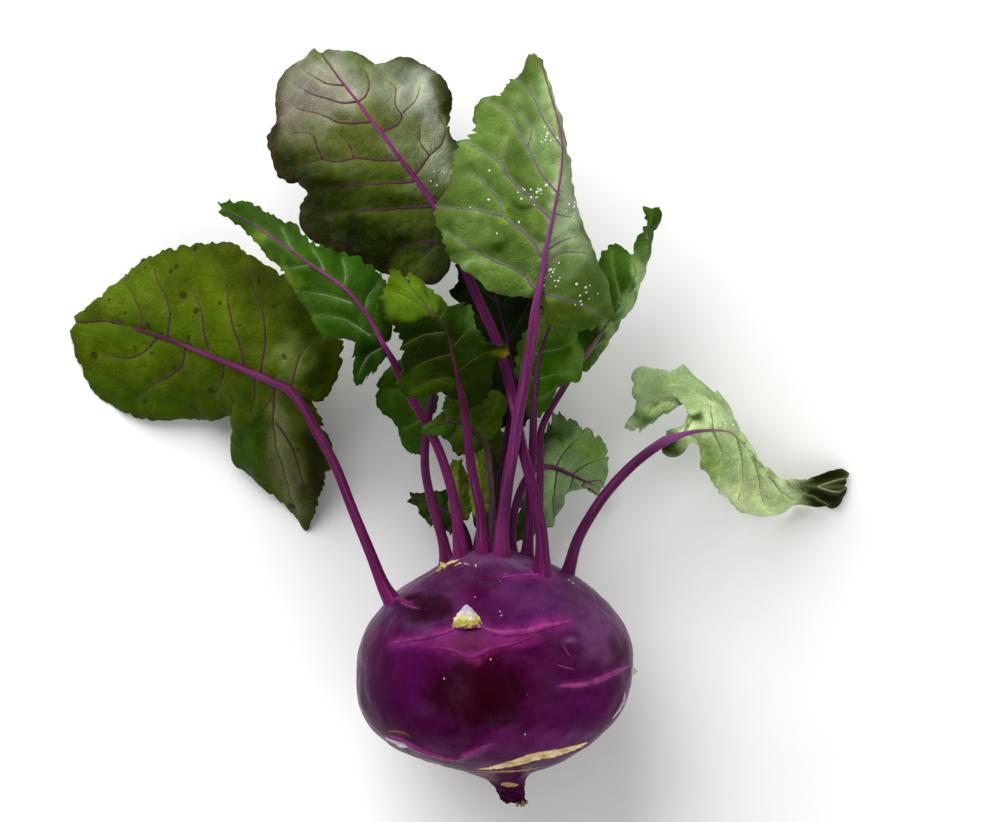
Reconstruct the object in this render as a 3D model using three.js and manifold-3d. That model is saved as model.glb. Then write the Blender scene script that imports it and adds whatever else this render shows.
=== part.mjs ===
// A purple kohlrabi as it is picked, with its leaves on, lying on its side.
//
// Millimetres, +Z up. +Y runs from the root stub to the leaves, +X is to the right when the
// bulb lies with its leaves away from the viewer. The origin is the middle of the small flat
// spot that the bulb rests on. The long leaves reach down to the same surface on both sides.
//
// Each leaf is two solids: the purple stalk that runs on as the leaf's midrib, and the green
// blade that hangs from the midrib with a small gap.

import * as THREE from 'three';
import { mergeVertices } from 'three/addons/utils/BufferGeometryUtils.js';
import Module from 'manifold-3d';

const wasm = await Module();
wasm.setup();

// ---------------------------------------------------------------- driving dimensions

const BULB_RADIUS = 45; // half of the bulb's greatest width
const CROWN_TILT = THREE.MathUtils.degToRad(10); // how far the crown is raised off the level
const BULB_HEIGHT = 43.5; // height of the bulb's middle over the surface
const REST_SPOT_Y = 3; // the tilted bulb's lowest point lies this far towards the leaves

const BLADE_THICKNESS = 0.7;
const GAP = 0.3; // between neighbouring pieces
const RIB_REACH = 0.93; // the midrib tube ends before the blade's tip
const STALK_FLARE = 0.05; // share of a stalk's length over which its foot narrows
const TOOTH_DEPTH = 0.9; // every other row of a blade's edge is drawn in by this much

const BULB_SIDES = 44;
const STALK_SIDES = 7;
const STALK_STEP = 5.5; // length of a stalk's straight pieces
const RIDGE_SIDES = 6;
const RIDGE_STEPS = 12;
const STUMP_SIDES = 8;
const SAME_POINT = 1e-4; // corners closer than this are one corner

// Bulb profile, from the root stub's cut end to the crown: [place along the axis, radius,
// shift to the right]. The bulb sags a little to the left, and the root stub leans right.
const BULB_PROFILE = [
  [-46.5, 4.1, 5.6],
  [-43, 5, 4.7],
  [-39.5, 6.4, 3.3],
  [-37.2, 9.2, 1.6],
  [-35.2, 13.5, 0.4],
  [-33, 19.5, -1],
  [-30, 26.5, -1.8],
  [-25.5, 33.8, -2],
  [-20, 39.2, -1.7],
  [-14, 42.8, -1.1],
  [-7, 44.6, -0.6],
  [0, BULB_RADIUS, -0.4],
  [6, 44.4, -0.4],
  [12, 42.1, -0.4],
  [17, 38.7, -0.5],
  [21, 35, -0.7],
  [24.5, 30.6, -0.5],
  [28, 25.2, -0.3],
  [31, 19.8, -0.1],
  [33.6, 14.6, 0],
  [35.4, 9.6, 0],
  [36.4, 4.6, 0],
];
const STUB_END = -46; // middle of the root stub's slightly hollow cut end, along the axis
const CROWN_END = 36.8;

// Shallow flutes round the bulb: [how deep, as a share of its radius, how many, twist per mm].
const FLUTES = [
  [0.008, 5, 0.06],
  [0.006, 3, 0],
];

// ---------------------------------------------------------------- small helpers

const vector = ([x, y, z]) => new THREE.Vector3(x, y, z);

const curveThrough = (points) => new THREE.CatmullRomCurve3(points.map(vector), false, 'centripetal');

function closedGeometry(positions, triangles) {
  const geometry = new THREE.BufferGeometry();
  geometry.setAttribute('position', new THREE.Float32BufferAttribute(positions, 3));
  geometry.setIndex(triangles);
  return geometry;
}

function toSolid(geometry) {
  const plain = geometry.clone();
  plain.deleteAttribute('normal');
  plain.deleteAttribute('uv');
  const merged = mergeVertices(plain, SAME_POINT);
  return new wasm.Manifold(new wasm.Mesh({
    numProp: 3,
    vertProperties: new Float32Array(merged.attributes.position.array),
    triVerts: new Uint32Array(merged.index.array),
  }));
}

function toGeometry(solid) {
  const mesh = solid.getMesh();
  const geometry = new THREE.BufferGeometry();
  geometry.setAttribute('position', new THREE.Float32BufferAttribute(mesh.vertProperties, 3));
  geometry.setIndex(new THREE.Uint32BufferAttribute(mesh.triVerts, 1));
  geometry.computeVertexNormals();
  return geometry;
}

// A round tube with closed ends. radiusAt gives its radius from 0, the start, to 1, the end.
function taperedTube(curve, radiusAt, sides, steps) {
  const frames = curve.computeFrenetFrames(steps, false);
  const positions = [];
  const triangles = [];
  for (let i = 0; i <= steps; i += 1) {
    const centre = curve.getPointAt(i / steps);
    const radius = radiusAt(i / steps);
    for (let j = 0; j < sides; j += 1) {
      const angle = (j / sides) * Math.PI * 2;
      const point = centre.clone()
        .addScaledVector(frames.normals[i], Math.cos(angle) * radius)
        .addScaledVector(frames.binormals[i], Math.sin(angle) * radius);
      positions.push(point.x, point.y, point.z);
    }
  }
  for (let i = 0; i < steps; i += 1) {
    for (let j = 0; j < sides; j += 1) {
      const a = i * sides + j;
      const b = i * sides + (j + 1) % sides;
      triangles.push(a, b, b + sides, a, b + sides, a + sides);
    }
  }
  const start = positions.length / 3;
  const end = start + 1;
  const last = steps * sides;
  positions.push(...curve.getPointAt(0).toArray(), ...curve.getPointAt(1).toArray());
  for (let j = 0; j < sides; j += 1) {
    const next = (j + 1) % sides;
    triangles.push(start, next, j, end, last + j, last + next);
  }
  return closedGeometry(positions, triangles);
}

// ---------------------------------------------------------------- bulb

// Radius and sideways shift of the bulb at a place along its axis, between the profile's points.
function bulbSection(along) {
  const next = BULB_PROFILE.findIndex(([place]) => place >= along);
  if (next === -1) {
    return BULB_PROFILE[BULB_PROFILE.length - 1].slice(1);
  }
  const [placeA, radiusA, shiftA] = BULB_PROFILE[Math.max(next - 1, 0)];
  const [placeB, radiusB, shiftB] = BULB_PROFILE[Math.max(next, 1)];
  const part = THREE.MathUtils.clamp((along - placeA) / (placeB - placeA), 0, 1);
  return [THREE.MathUtils.lerp(radiusA, radiusB, part), THREE.MathUtils.lerp(shiftA, shiftB, part)];
}

// From the bulb's own axes (across, raised, along its axis) to the frame of the whole plant.
function bulbPoint(across, raised, along) {
  const [, shift] = bulbSection(along);
  return new THREE.Vector3(
    across + shift,
    along * Math.cos(CROWN_TILT) - raised * Math.sin(CROWN_TILT),
    BULB_HEIGHT + raised * Math.cos(CROWN_TILT) + along * Math.sin(CROWN_TILT),
  );
}

// The point of the bulb's upper side at a place in plan, found by a few rounds of correction.
function onBulb(x, y, lift = 0) {
  const rounds = 30;
  let raised = BULB_RADIUS / 2;
  let along = 0;
  let across = x;
  for (let round = 0; round < rounds; round += 1) {
    along = (y + raised * Math.sin(CROWN_TILT)) / Math.cos(CROWN_TILT);
    const [radius, shift] = bulbSection(along);
    across = x - shift;
    raised = Math.sqrt(Math.max(radius ** 2 - across ** 2, 1));
  }
  const point = bulbPoint(across, raised, along);
  const outward = point.clone().sub(new THREE.Vector3(0, 0, BULB_HEIGHT)).normalize();
  return point.addScaledVector(outward, lift);
}

function flutedRadius(radius, angle, along) {
  const swell = FLUTES.reduce(
    (sum, [depth, count, twist]) => sum + depth * Math.sin(count * angle + twist * along),
    1,
  );
  return radius * swell;
}

function bulbBody() {
  const positions = [];
  const triangles = [];
  BULB_PROFILE.forEach(([along, radius]) => {
    for (let j = 0; j < BULB_SIDES; j += 1) {
      const angle = (j / BULB_SIDES) * Math.PI * 2;
      const reach = flutedRadius(radius, angle, along);
      const point = bulbPoint(Math.cos(angle) * reach, Math.sin(angle) * reach, along);
      positions.push(point.x, point.y, point.z);
    }
  });
  const rings = BULB_PROFILE.length;
  for (let i = 0; i < rings - 1; i += 1) {
    for (let j = 0; j < BULB_SIDES; j += 1) {
      const a = i * BULB_SIDES + j;
      const b = i * BULB_SIDES + (j + 1) % BULB_SIDES;
      triangles.push(a, b + BULB_SIDES, b, a, a + BULB_SIDES, b + BULB_SIDES);
    }
  }
  const stubEnd = positions.length / 3;
  const crown = stubEnd + 1;
  const last = (rings - 1) * BULB_SIDES;
  positions.push(...bulbPoint(0, 0, STUB_END).toArray(), ...bulbPoint(0, 0, CROWN_END).toArray());
  for (let j = 0; j < BULB_SIDES; j += 1) {
    const next = (j + 1) % BULB_SIDES;
    triangles.push(stubEnd, j, next, crown, last + next, last + j);
  }
  return closedGeometry(positions, triangles);
}

// Leaf scars and corky lines that stand up from the skin: [x, y] in plan, along each ridge.
const RIDGES = [
  { line: [[-35, 6], [-28, 7], [-20, 8], [-14, 9.6], [-8, 10.6]], radius: 1.2 },
  { line: [[-6, 13.5], [-3, 11.4], [3, 10.2], [10, 10.8], [17, 12.8], [24, 13.6]], radius: 1.2 },
  { line: [[-22, 4.4], [-15, 4], [-8, 1], [-3, 4.8], [2, 6.4], [8, 6]], radius: 1.2 },
  { line: [[21, -7], [27, -6.6], [33, -5.2], [39, -2.6], [43.5, -1.6]], radius: 1.2 },
  { line: [[-36.4, -24], [-28, -26.4], [-22, -28.8], [-14, -30.6], [-8, -28.4], [-2, -26]], radius: 1.3 },
  { line: [[-8, -35], [0, -33.6], [9, -31.6], [18, -29.2], [25, -27.4], [30, -25.8]], radius: 1.8 },
  { line: [[2, 27.4], [8, 27.6], [14, 27.4], [20, 27]], radius: 0.9 },
];
const RIDGE_SUNK = 0.3; // how far a ridge's middle line lies under the skin
const RIDGE_END = 0.06; // keeps a little thickness at a ridge's two ends

// The stump of a leaf that was cut off at the widest scar, and a healed knob at the right.
// The stump leans towards the leaves, from its foot under the skin to its narrower cut top.
const CUT_STUMP = { foot: [-9.6, 13.2], top: [-9.2, 14.6], sunk: 2.5, height: 4, width: 9, topWidth: 5.6 };
const KNOB = { x: 44, y: -3, size: 2.3, sunk: 0.4 };

function ridgeTube({ line, radius }, grow = 0) {
  const curve = new THREE.CatmullRomCurve3(line.map(([x, y]) => onBulb(x, y, -RIDGE_SUNK)));
  const ends = (t) => Math.sqrt(Math.max(Math.sin(Math.PI * t), RIDGE_END));
  return taperedTube(curve, (t) => radius * ends(t) + grow, RIDGE_SIDES, RIDGE_STEPS);
}

function cutStump(grow = 0) {
  const foot = onBulb(...CUT_STUMP.foot, -CUT_STUMP.sunk);
  const top = onBulb(...CUT_STUMP.top, CUT_STUMP.height + grow);
  const radiusAt = (t) => THREE.MathUtils.lerp(CUT_STUMP.width, CUT_STUMP.topWidth, t) / 2 + grow;
  return taperedTube(new THREE.LineCurve3(foot, top), radiusAt, STUMP_SIDES, 2);
}

function knob() {
  const ball = new THREE.IcosahedronGeometry(KNOB.size, 1);
  const place = onBulb(KNOB.x, KNOB.y, -KNOB.sunk);
  return ball.translate(place.x, place.y, place.z);
}

// All that rises from the bulb, grown by a clearance where it cuts a neighbour.
function bulbSolid(grow = 0) {
  const body = mergeVertices(bulbBody());
  body.computeVertexNormals();
  const { position, normal } = body.attributes;
  for (let i = 0; i < position.count; i += 1) {
    position.setXYZ(
      i,
      position.getX(i) + normal.getX(i) * grow,
      position.getY(i) + normal.getY(i) * grow,
      position.getZ(i) + normal.getZ(i) * grow,
    );
  }
  let solid = toSolid(body);
  RIDGES.forEach((ridge) => {
    solid = solid.add(toSolid(ridgeTube(ridge, grow)));
  });
  return solid.add(toSolid(cutStump(grow))).add(toSolid(knob()));
}

// The flat spot: everything of the bulb that would be below the surface is taken off.
function flatSpotCutter() {
  const side = BULB_RADIUS * 2;
  return toSolid(new THREE.BoxGeometry(side, side, side).translate(0, 0, -side / 2));
}

// ---------------------------------------------------------------- leaves

// Each leaf is given by a few lines in space, from its base to its tip:
//   stalk   from the bulb to the blade, then rib, the midrib from there to the tip
//   left, right            the blade's two edges
//   leftFold, rightFold    where the blade passes halfway to an edge that is folded over
// radii are those of the stalk at its foot, of the stalk, of the midrib and of the midrib's end.
// fan gathers the rows of the blade at its base, so that they spread into the base lobes.
// bulge arches each half of a blade, as a share of its width. wave is the depth of the
// ruffles along an edge, and waves is how many there are.

const LEAVES = [
  {
    name: 'left',
    stalk: [[-31.6, 16, 49], [-36, 23, 51], [-40.7, 34, 52], [-45.4, 46, 51], [-50, 57, 49],
      [-55, 68, 46], [-60, 77, 43], [-64.5, 84.5, 40]],
    rib: [[-68.5, 88.8, 38], [-76, 92.5, 35], [-84, 95.5, 31.5], [-93, 99.4, 27],
      [-103, 103.5, 21.5], [-111, 106.6, 16], [-120, 109.3, 9.5], [-129, 111, 4.5],
      [-137.5, 110.5, 1.5]],
    left: [[-60, 84, 35], [-57, 80, 31], [-54.5, 73, 26], [-54, 66, 19], [-55.4, 59.4, 12],
      [-57.8, 52.4, 6], [-62.8, 42.6, 1], [-66.4, 47.6, 1], [-72.4, 54.2, 2], [-78.6, 59.8, 4],
      [-86.8, 65.6, 5], [-85.6, 69.6, 8], [-80.8, 77, 13], [-84.8, 80.6, 13], [-94, 78.6, 8],
      [-104, 79, 5], [-114, 79, 2], [-124, 82.6, 0], [-131, 87, 0], [-136, 95, 0],
      [-139, 107.5, 0]],
    right: [[-60.8, 84.6, 35], [-57, 84.8, 35], [-53.6, 90, 35], [-50, 99, 35], [-49.5, 107, 35],
      [-53, 117, 35], [-62, 124.5, 34], [-72, 127.2, 32], [-79, 131.5, 29], [-84.5, 137, 25],
      [-90, 136.6, 22], [-98, 136, 18], [-106, 135, 14], [-114, 132, 10], [-122, 126, 6],
      [-130, 118.4, 3], [-138, 112.8, 1]],
    fan: 2.3, radii: [3, 1.75, 1.5, 0.5], rows: 28, columns: 3, bulge: 0.05, wave: 1.3, waves: 5.3,
  },
  {
    name: 'top_left',
    stalk: [[14.6, 26, 58], [14.8, 33, 62], [14.4, 42, 65], [12.4, 52, 66.5], [10.4, 61, 67],
      [8.4, 70, 67.4], [6.1, 80, 67.6], [3.4, 92, 68], [0.6, 102, 68], [-3.2, 112, 67],
      [-8, 123, 66], [-13.4, 135, 65]],
    rib: [[-20.4, 148.4, 64], [-26, 156.6, 64.5], [-32, 164, 64.6], [-40, 175, 63],
      [-46, 183, 59.6], [-52, 191, 54], [-57.2, 198, 47]],
    left: [[-20.5, 145.4, 60], [-16.8, 137, 56], [-15.8, 128, 52], [-22, 122.6, 51],
      [-31, 125.2, 52], [-40, 127.4, 53], [-50, 132.4, 53], [-59, 136.4, 52], [-64, 141, 50],
      [-63.6, 149, 51], [-61, 151.2, 53], [-64.6, 155.4, 51], [-70, 156.8, 49], [-73, 163, 48],
      [-74.4, 170.8, 46], [-71.9, 174.4, 48], [-72, 182, 46], [-70.2, 189.4, 43], [-65, 193.6, 42],
      [-58.6, 198.6, 42]],
    right: [[-17, 149.6, 61], [-11, 153, 58], [-9.6, 160, 57], [-12.6, 168, 58], [-15.4, 172.6, 59],
      [-14.4, 182, 56], [-17, 189, 53], [-22, 193, 50], [-30, 196.2, 47], [-38.6, 194.2, 49],
      [-46, 197.2, 46], [-54.6, 198.4, 43]],
    fan: 1.7, radii: [3, 1.8, 1.5, 0.5], rows: 26, columns: 3, bulge: 0.06, wave: 1.3, waves: 5.6,
  },
  {
    name: 'top_middle',
    stalk: [[1.6, 31, 52], [1.4, 38, 57], [2.6, 50, 62], [4.4, 64, 68], [6.8, 79, 75],
      [9.6, 94, 82], [11.2, 104, 86], [12.4, 113, 90]],
    rib: [[13.8, 121.6, 93.5], [15.2, 130, 97], [17.4, 140, 100], [19.2, 150, 102],
      [20.8, 160, 103], [20.8, 168, 103], [19, 177, 101], [16.4, 187, 97.5], [13.6, 195.6, 94]],
    left: [[12, 119.6, 88], [5.5, 119, 83], [-1, 119.8, 80], [-7, 125.4, 79], [-15, 130.2, 78],
      [-18.4, 138.6, 77], [-21, 147.4, 78], [-16, 154, 80], [-14.6, 160, 81], [-13.6, 169, 81],
      [-7.4, 173, 83], [-6.4, 180, 83], [-4.6, 183.4, 83], [1.4, 184.2, 86], [3.4, 189, 85],
      [8.2, 191, 88], [9.4, 196, 88], [12, 197.2, 89]],
    right: [[15.6, 118, 87], [17, 111, 81], [26, 107.4, 76], [33, 108, 74], [38, 110.8, 73],
      [36, 117, 75], [33.6, 122, 77], [30, 128, 78], [26, 134, 78], [22, 142, 78], [18, 152, 80],
      [15, 162, 82], [13, 172, 83], [12, 182, 85], [12.4, 191, 87], [14, 196, 89.6]],
    rightFold: [[15.8, 119.6, 90], [19, 116.4, 90], [24, 116, 89], [27.6, 118.4, 88],
      [29.4, 121.4, 88], [29.6, 126, 89], [28.8, 131, 90], [27.4, 137, 91], [25.8, 143, 92],
      [24.4, 149, 93], [23.2, 155, 94], [22, 162, 95], [20.8, 169, 95], [18.8, 177, 95],
      [16.4, 186, 94], [14, 195.4, 92.4]],
    fan: 1.5, radii: [3.4, 2, 1.75, 0.55], rows: 28, columns: 3, bulge: 0.05, wave: 1.1, waves: 6.4,
  },
  {
    name: 'mid_left',
    stalk: [[-11.4, 31, 48], [-12, 37, 52], [-12.8, 46, 54.6], [-14.6, 55, 56], [-17, 63, 57.2],
      [-20, 71, 59], [-23.6, 78.4, 61], [-28.4, 87, 64], [-33, 96.4, 69]],
    rib: [[-36.6, 103.4, 74.6], [-40.4, 110, 78], [-44.6, 116, 80], [-49.2, 121.2, 80],
      [-54, 125, 79], [-60, 129, 77], [-67, 133.6, 74], [-74, 138.6, 70], [-81, 143.4, 65.5],
      [-89.4, 147.6, 59.5]],
    left: [[-37.2, 99.4, 70.2], [-38.6, 96, 69], [-41.8, 92, 68], [-45, 88.6, 66], [-48, 96, 68],
      [-44, 102.6, 72.4], [-49, 105.2, 72], [-55.4, 104.8, 70], [-59.4, 109.6, 70],
      [-62, 115.4, 69], [-66, 120, 69], [-69.4, 125.8, 69], [-73.4, 130.8, 68], [-77, 135, 67],
      [-82, 140, 64], [-86, 143.4, 61], [-90, 146, 57.5]],
    right: [[-35.6, 105.4, 70.6], [-34, 110, 72], [-34.4, 115, 72.6], [-35.4, 123, 72],
      [-39.6, 128, 72], [-44.6, 131.6, 71], [-53.6, 134.2, 71], [-60, 136.6, 70], [-66, 142.6, 67],
      [-71, 144.6, 67], [-74, 146.6, 65], [-81, 149.2, 62], [-86.6, 150.4, 59], [-90.6, 149, 57]],
    fan: 1.4, radii: [2.6, 1.7, 1.35, 0.45], rows: 24, columns: 3, bulge: 0.07, wave: 1.1, waves: 5.2,
  },
  {
    name: 'middle',
    stalk: [[-4.4, 31, 52], [-4.4, 38, 56], [-5.4, 48, 58.6], [-7.2, 57.6, 60.4], [-8.8, 68, 63],
      [-10, 77, 67]],
    rib: [[-11, 84.6, 72], [-12.2, 91, 77.5], [-14, 99, 83], [-16.2, 106.6, 87.4],
      [-18.4, 111.4, 89], [-21.4, 116, 88.4], [-25.2, 120.6, 86], [-29.6, 124.6, 82.6]],
    left: [[-13.4, 86.6, 67.6], [-18.4, 89.8, 70.4], [-23, 88, 70.2], [-28, 86, 71],
      [-32.6, 88, 73], [-31.2, 94, 76], [-31.8, 99, 78.6], [-31.8, 105, 81], [-36.2, 110.6, 82.4],
      [-39.4, 114.6, 82], [-38.8, 119, 80.4], [-36, 122.6, 80], [-34.6, 127.6, 78.4],
      [-31.4, 127, 79.4]],
    right: [[-9, 83.2, 67.6], [-5.6, 83.6, 68], [-2.6, 86, 69.6], [-1.6, 92, 73], [0, 97.4, 76],
      [4.6, 100.2, 75], [3, 104.2, 78], [-3, 104.6, 82], [-6.6, 109.6, 83], [-8.4, 116.4, 80.6],
      [-13.4, 114.2, 84.6], [-17.6, 117.6, 84], [-21.4, 120.6, 82.6], [-23.6, 123.4, 81],
      [-28.6, 126.2, 79.6]],
    fan: 1, radii: [3, 1.7, 1.4, 0.5], rows: 24, columns: 3, bulge: 0.02, wave: 1, waves: 4.6,
  },
  {
    name: 'back_middle',
    stalk: [[0.8, 31, 40], [0.4, 37.4, 44], [0.6, 48, 47], [1.4, 60, 48], [2.6, 69, 48]],
    rib: [[4, 77, 47.6], [5.4, 86, 46.6], [5.4, 94, 45.8], [4.2, 101.6, 44.6], [1.6, 112, 42],
      [-1.6, 124, 38], [-4, 137, 33]],
    left: [[1.8, 76, 44.4], [-2, 82, 42], [-3.6, 90, 40], [-8, 96, 38.4], [-11, 103, 37],
      [-13.2, 111, 36], [-12, 115.4, 36.4], [-16, 121, 34], [-12.4, 123.6, 34.6], [-14, 131, 31],
      [-10.6, 138.4, 29], [-6, 142, 28]],
    right: [[6.4, 75.4, 44.4], [10, 78, 42.6], [11, 85, 41.6], [11.8, 91, 41], [14.4, 98.4, 40],
      [15.6, 108, 39], [14.6, 118, 37], [11, 127, 35], [6.6, 135, 32], [-2, 142, 28.4]],
    fan: 1.2, radii: [2.2, 1.5, 1.2, 0.5], rows: 15, columns: 2, bulge: 0.06, wave: 0.9, waves: 4.2,
  },
  {
    name: 'right_cupped',
    stalk: [[13.4, 28, 38], [14.4, 34.6, 41], [13.8, 45, 44], [14, 55, 46], [14, 65, 45.6],
      [14.6, 74, 45], [17.2, 82, 45], [21.8, 89.8, 45.4]],
    rib: [[26.2, 96.6, 46.6], [31.2, 102.8, 49], [36, 109.6, 52], [40.6, 117, 54.4],
      [44.6, 125, 54], [48, 133, 53], [49.6, 140, 51], [50.2, 147.4, 48]],
    left: [[26.4, 96.8, 43], [23.4, 102, 39], [22.6, 110, 39.6], [25.6, 117.4, 43],
      [30.4, 122.8, 44], [32, 128.4, 44], [34, 133.6, 44], [38.6, 136.2, 44], [41.6, 134, 46],
      [43, 130.8, 48], [44.6, 134, 47], [46, 138, 46], [48.2, 140, 47], [48.4, 148, 44]],
    right: [[27.8, 94, 43], [31.8, 99, 38], [36.8, 106, 34], [41.8, 114.2, 33], [45.6, 122.6, 32],
      [48, 131.4, 34], [49.6, 138, 40], [53.2, 143.6, 44], [52, 147.8, 45]],
    rightFold: [[27.4, 95.4, 44.6], [32.2, 101.2, 44.4], [37.2, 108.2, 44], [42.2, 116.2, 44.6],
      [46.4, 124.6, 44], [48.6, 133, 44.4], [50, 139.6, 46], [51.8, 144, 47], [51.2, 147.8, 46.8]],
    fan: 1, radii: [2.3, 1.35, 1.05, 0.45], rows: 16, columns: 2, bulge: 0.08, wave: 0.8, waves: 4.4,
  },
  {
    name: 'low_right',
    stalk: [[5.4, 29, 34], [5, 35.6, 37], [5, 44, 39], [6.6, 53, 38], [9, 59, 35]],
    rib: [[12, 62.6, 32.4], [17, 63, 29], [23, 61, 25], [29, 58.6, 20.6], [34, 56.4, 16]],
    left: [[11.4, 65.4, 29.6], [13, 73, 27], [18.6, 82, 24], [22.8, 79.8, 23], [29.4, 77, 20],
      [34, 73, 17], [36.6, 67, 14], [35, 60.6, 13], [34.8, 57, 12]],
    right: [[10, 59.4, 29.6], [7, 53, 25], [5.4, 45, 20], [5.4, 38.4, 17], [9.6, 40.4, 15],
      [13, 43.4, 13], [18.4, 43.6, 10], [18.8, 46.2, 11], [16.6, 49.4, 13], [16.8, 52.8, 15],
      [21.4, 55.2, 15], [27, 57.4, 14.6], [32.4, 54.2, 11]],
    fan: 1.4, radii: [2.2, 1.5, 1.2, 0.5], rows: 16, columns: 2, bulge: 0.08, wave: 0.8, waves: 4.4,
  },
  {
    name: 'low_left',
    stalk: [[-8.4, 28, 32], [-9, 34, 34.4], [-10, 40, 34.6]],
    rib: [[-12, 44.8, 33], [-16.6, 48.6, 29], [-22, 51.8, 24], [-28, 53.4, 18]],
    left: [[-12.4, 42.6, 30], [-15, 40.8, 27], [-20.4, 43, 22], [-23.4, 46, 19], [-25.4, 49.6, 17],
      [-28.8, 52.4, 14.6]],
    right: [[-10, 46.4, 30], [-9.4, 53, 28], [-13.6, 57, 26], [-18, 56, 24], [-23, 54.6, 20],
      [-28.4, 54.6, 15]],
    fan: 1.1, radii: [2, 1.3, 1, 0.5], rows: 10, columns: 2, bulge: 0.08, wave: 0.6, waves: 3.2,
  },
  {
    name: 'back_left',
    stalk: [[-15.6, 28, 43], [-16.6, 34.6, 46], [-19, 44, 48], [-21.6, 54, 48.4], [-23.2, 63, 48],
      [-23, 72, 47]],
    rib: [[-22, 80, 45], [-20.8, 88, 43], [-20.2, 96, 40], [-21.6, 104, 36], [-23.4, 112, 31]],
    left: [[-23.8, 78.4, 41], [-22.8, 72, 37], [-24, 66.8, 33], [-28.4, 68.2, 29],
      [-31.6, 72.4, 27], [-33, 77.4, 26], [-36.8, 80.4, 23], [-39.6, 84.8, 22], [-38.8, 91.2, 23],
      [-34.6, 95.4, 25], [-30.6, 99, 26], [-28.6, 106, 26], [-25, 113, 26]],
    right: [[-20, 81.4, 41], [-19.4, 87, 39], [-16.4, 92, 36], [-12.4, 97.4, 33], [-11, 104, 31],
      [-14.4, 110, 29], [-22, 113.6, 26.4]],
    fan: 1.5, radii: [2.6, 1.7, 1.3, 0.5], rows: 17, columns: 2, bulge: 0.07, wave: 0.9, waves: 4.6,
  },
  {
    name: 'right_folded',
    stalk: [[9.4, 30, 43], [9.8, 36, 47], [10.6, 45, 51], [10.8, 55, 54.4], [11.4, 66, 57.4],
      [11.8, 73, 59.4]],
    rib: [[12, 80, 61], [12.4, 88, 62.4], [13, 95.6, 63.6], [14.6, 103, 64.4], [17.2, 110, 64],
      [20.6, 117, 62]],
    left: [[10.4, 79.6, 57.4], [8.6, 84, 57], [6.6, 90, 57], [5.4, 97, 56], [7, 104, 56],
      [11.4, 112, 56], [18.6, 118.4, 57]],
    right: [[13.8, 79.4, 57.4], [16.6, 83.4, 57], [19.4, 88.8, 56.6], [23.6, 91.2, 56],
      [27, 91.6, 54], [27.2, 98, 53], [26, 105, 53], [25.6, 112, 54], [22.4, 118.4, 57]],
    rightFold: [[13, 79.8, 58.6], [15, 84, 59.6], [17.4, 89, 60.4], [20, 92.6, 60.6],
      [22.8, 96, 60], [23.4, 101, 60], [22.8, 106, 60.4], [22.4, 112, 60.4], [21.6, 117.8, 59.6]],
    fan: 1.1, radii: [2.4, 1.6, 1.25, 0.5], rows: 14, columns: 2, bulge: 0.07, wave: 0.8, waves: 4.2,
  },
  {
    name: 'drooping',
    stalk: [[21.6, 23, 36], [23.6, 30.4, 39], [26.2, 39, 42], [30.6, 47.6, 46], [36, 55.6, 50],
      [42.2, 62.4, 52.6], [48.6, 68, 54]],
    rib: [[55, 72.2, 54.4], [62.6, 74.6, 53.6], [69.6, 75.4, 51.6], [75.4, 74.8, 48],
      [79.4, 72, 43.6], [82.8, 67.8, 38], [86, 63, 31], [91.2, 59.4, 23.6], [98.2, 57.6, 16],
      [106, 57, 9], [113.6, 57, 3]],
    left: [[55, 74.4, 50], [61, 76, 48], [62.4, 80.4, 46], [64.6, 82.6, 46], [61.4, 84.4, 43],
      [57, 82.4, 39], [52.4, 79, 35.6], [48, 75.6, 32], [44.8, 73.6, 30.4], [42.2, 76.4, 29],
      [45, 80.6, 30], [45.4, 84, 31], [44.4, 88.4, 30], [44.4, 95.2, 29], [52, 95, 31],
      [57.6, 94.8, 31], [60.6, 97, 30], [65, 92.8, 32], [70, 89.6, 32], [72.4, 85, 32],
      [74.6, 80.6, 32], [78.4, 75.6, 31], [81.4, 70.4, 28], [84.2, 65.2, 23.4], [87.6, 61, 18.6],
      [93, 58.8, 15], [98.4, 58.6, 11], [104.4, 60.4, 7], [110.8, 63.4, 3.6], [115, 61.4, 1]],
    leftFold: [[55.2, 73.8, 52], [60.6, 75.8, 50.6], [62.6, 77.8, 49.6], [65, 79.4, 49],
      [64.8, 81.4, 48], [63.6, 83.6, 46], [61.4, 84.6, 44], [59, 85.4, 42.4], [57.4, 86, 41],
      [56.6, 86.6, 40.4], [57, 87.4, 40.6], [58, 87.8, 41.4], [58.6, 88.4, 41.6], [59, 89.4, 41.4],
      [61, 88.6, 43], [63.4, 87.4, 43.6], [65.6, 87.2, 43.6], [68, 85, 44], [70.6, 82.6, 43.6],
      [73, 80.2, 42.4], [75, 77.8, 41], [78.6, 74.4, 38], [81.4, 70, 33.6], [84.2, 65.4, 28],
      [87.2, 61.6, 22], [92.4, 59.2, 17.4], [98.4, 58.2, 13.4], [105.2, 59, 8], [111.8, 59.4, 3.6],
      [114.2, 59, 2]],
    right: [[54.4, 70.4, 50], [53.8, 68.6, 48.4], [57, 67.2, 47], [60.4, 68.4, 47],
      [61.4, 71.6, 48], [64, 72, 46], [66, 69.4, 42], [66.2, 64, 34], [70.2, 58.8, 24],
      [75, 53.2, 14], [80, 49.4, 7], [85, 47.9, 3], [92, 48.6, 1], [98.4, 51.4, 1], [104, 50.4, 0],
      [109.4, 49.8, 0], [112.2, 53, 0], [114.4, 56.6, 0]],
    fan: 1.4, radii: [2.8, 1.8, 1.6, 0.5], rows: 32, columns: 3, bulge: 0.12, wave: 0.8, waves: 5.4,
  },
  {
    name: 'young_front',
    stalk: [[-1.4, 33, 48], [-1.2, 40, 51.4], [-1.4, 52, 53.6], [-2.4, 62, 54.6]],
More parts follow.
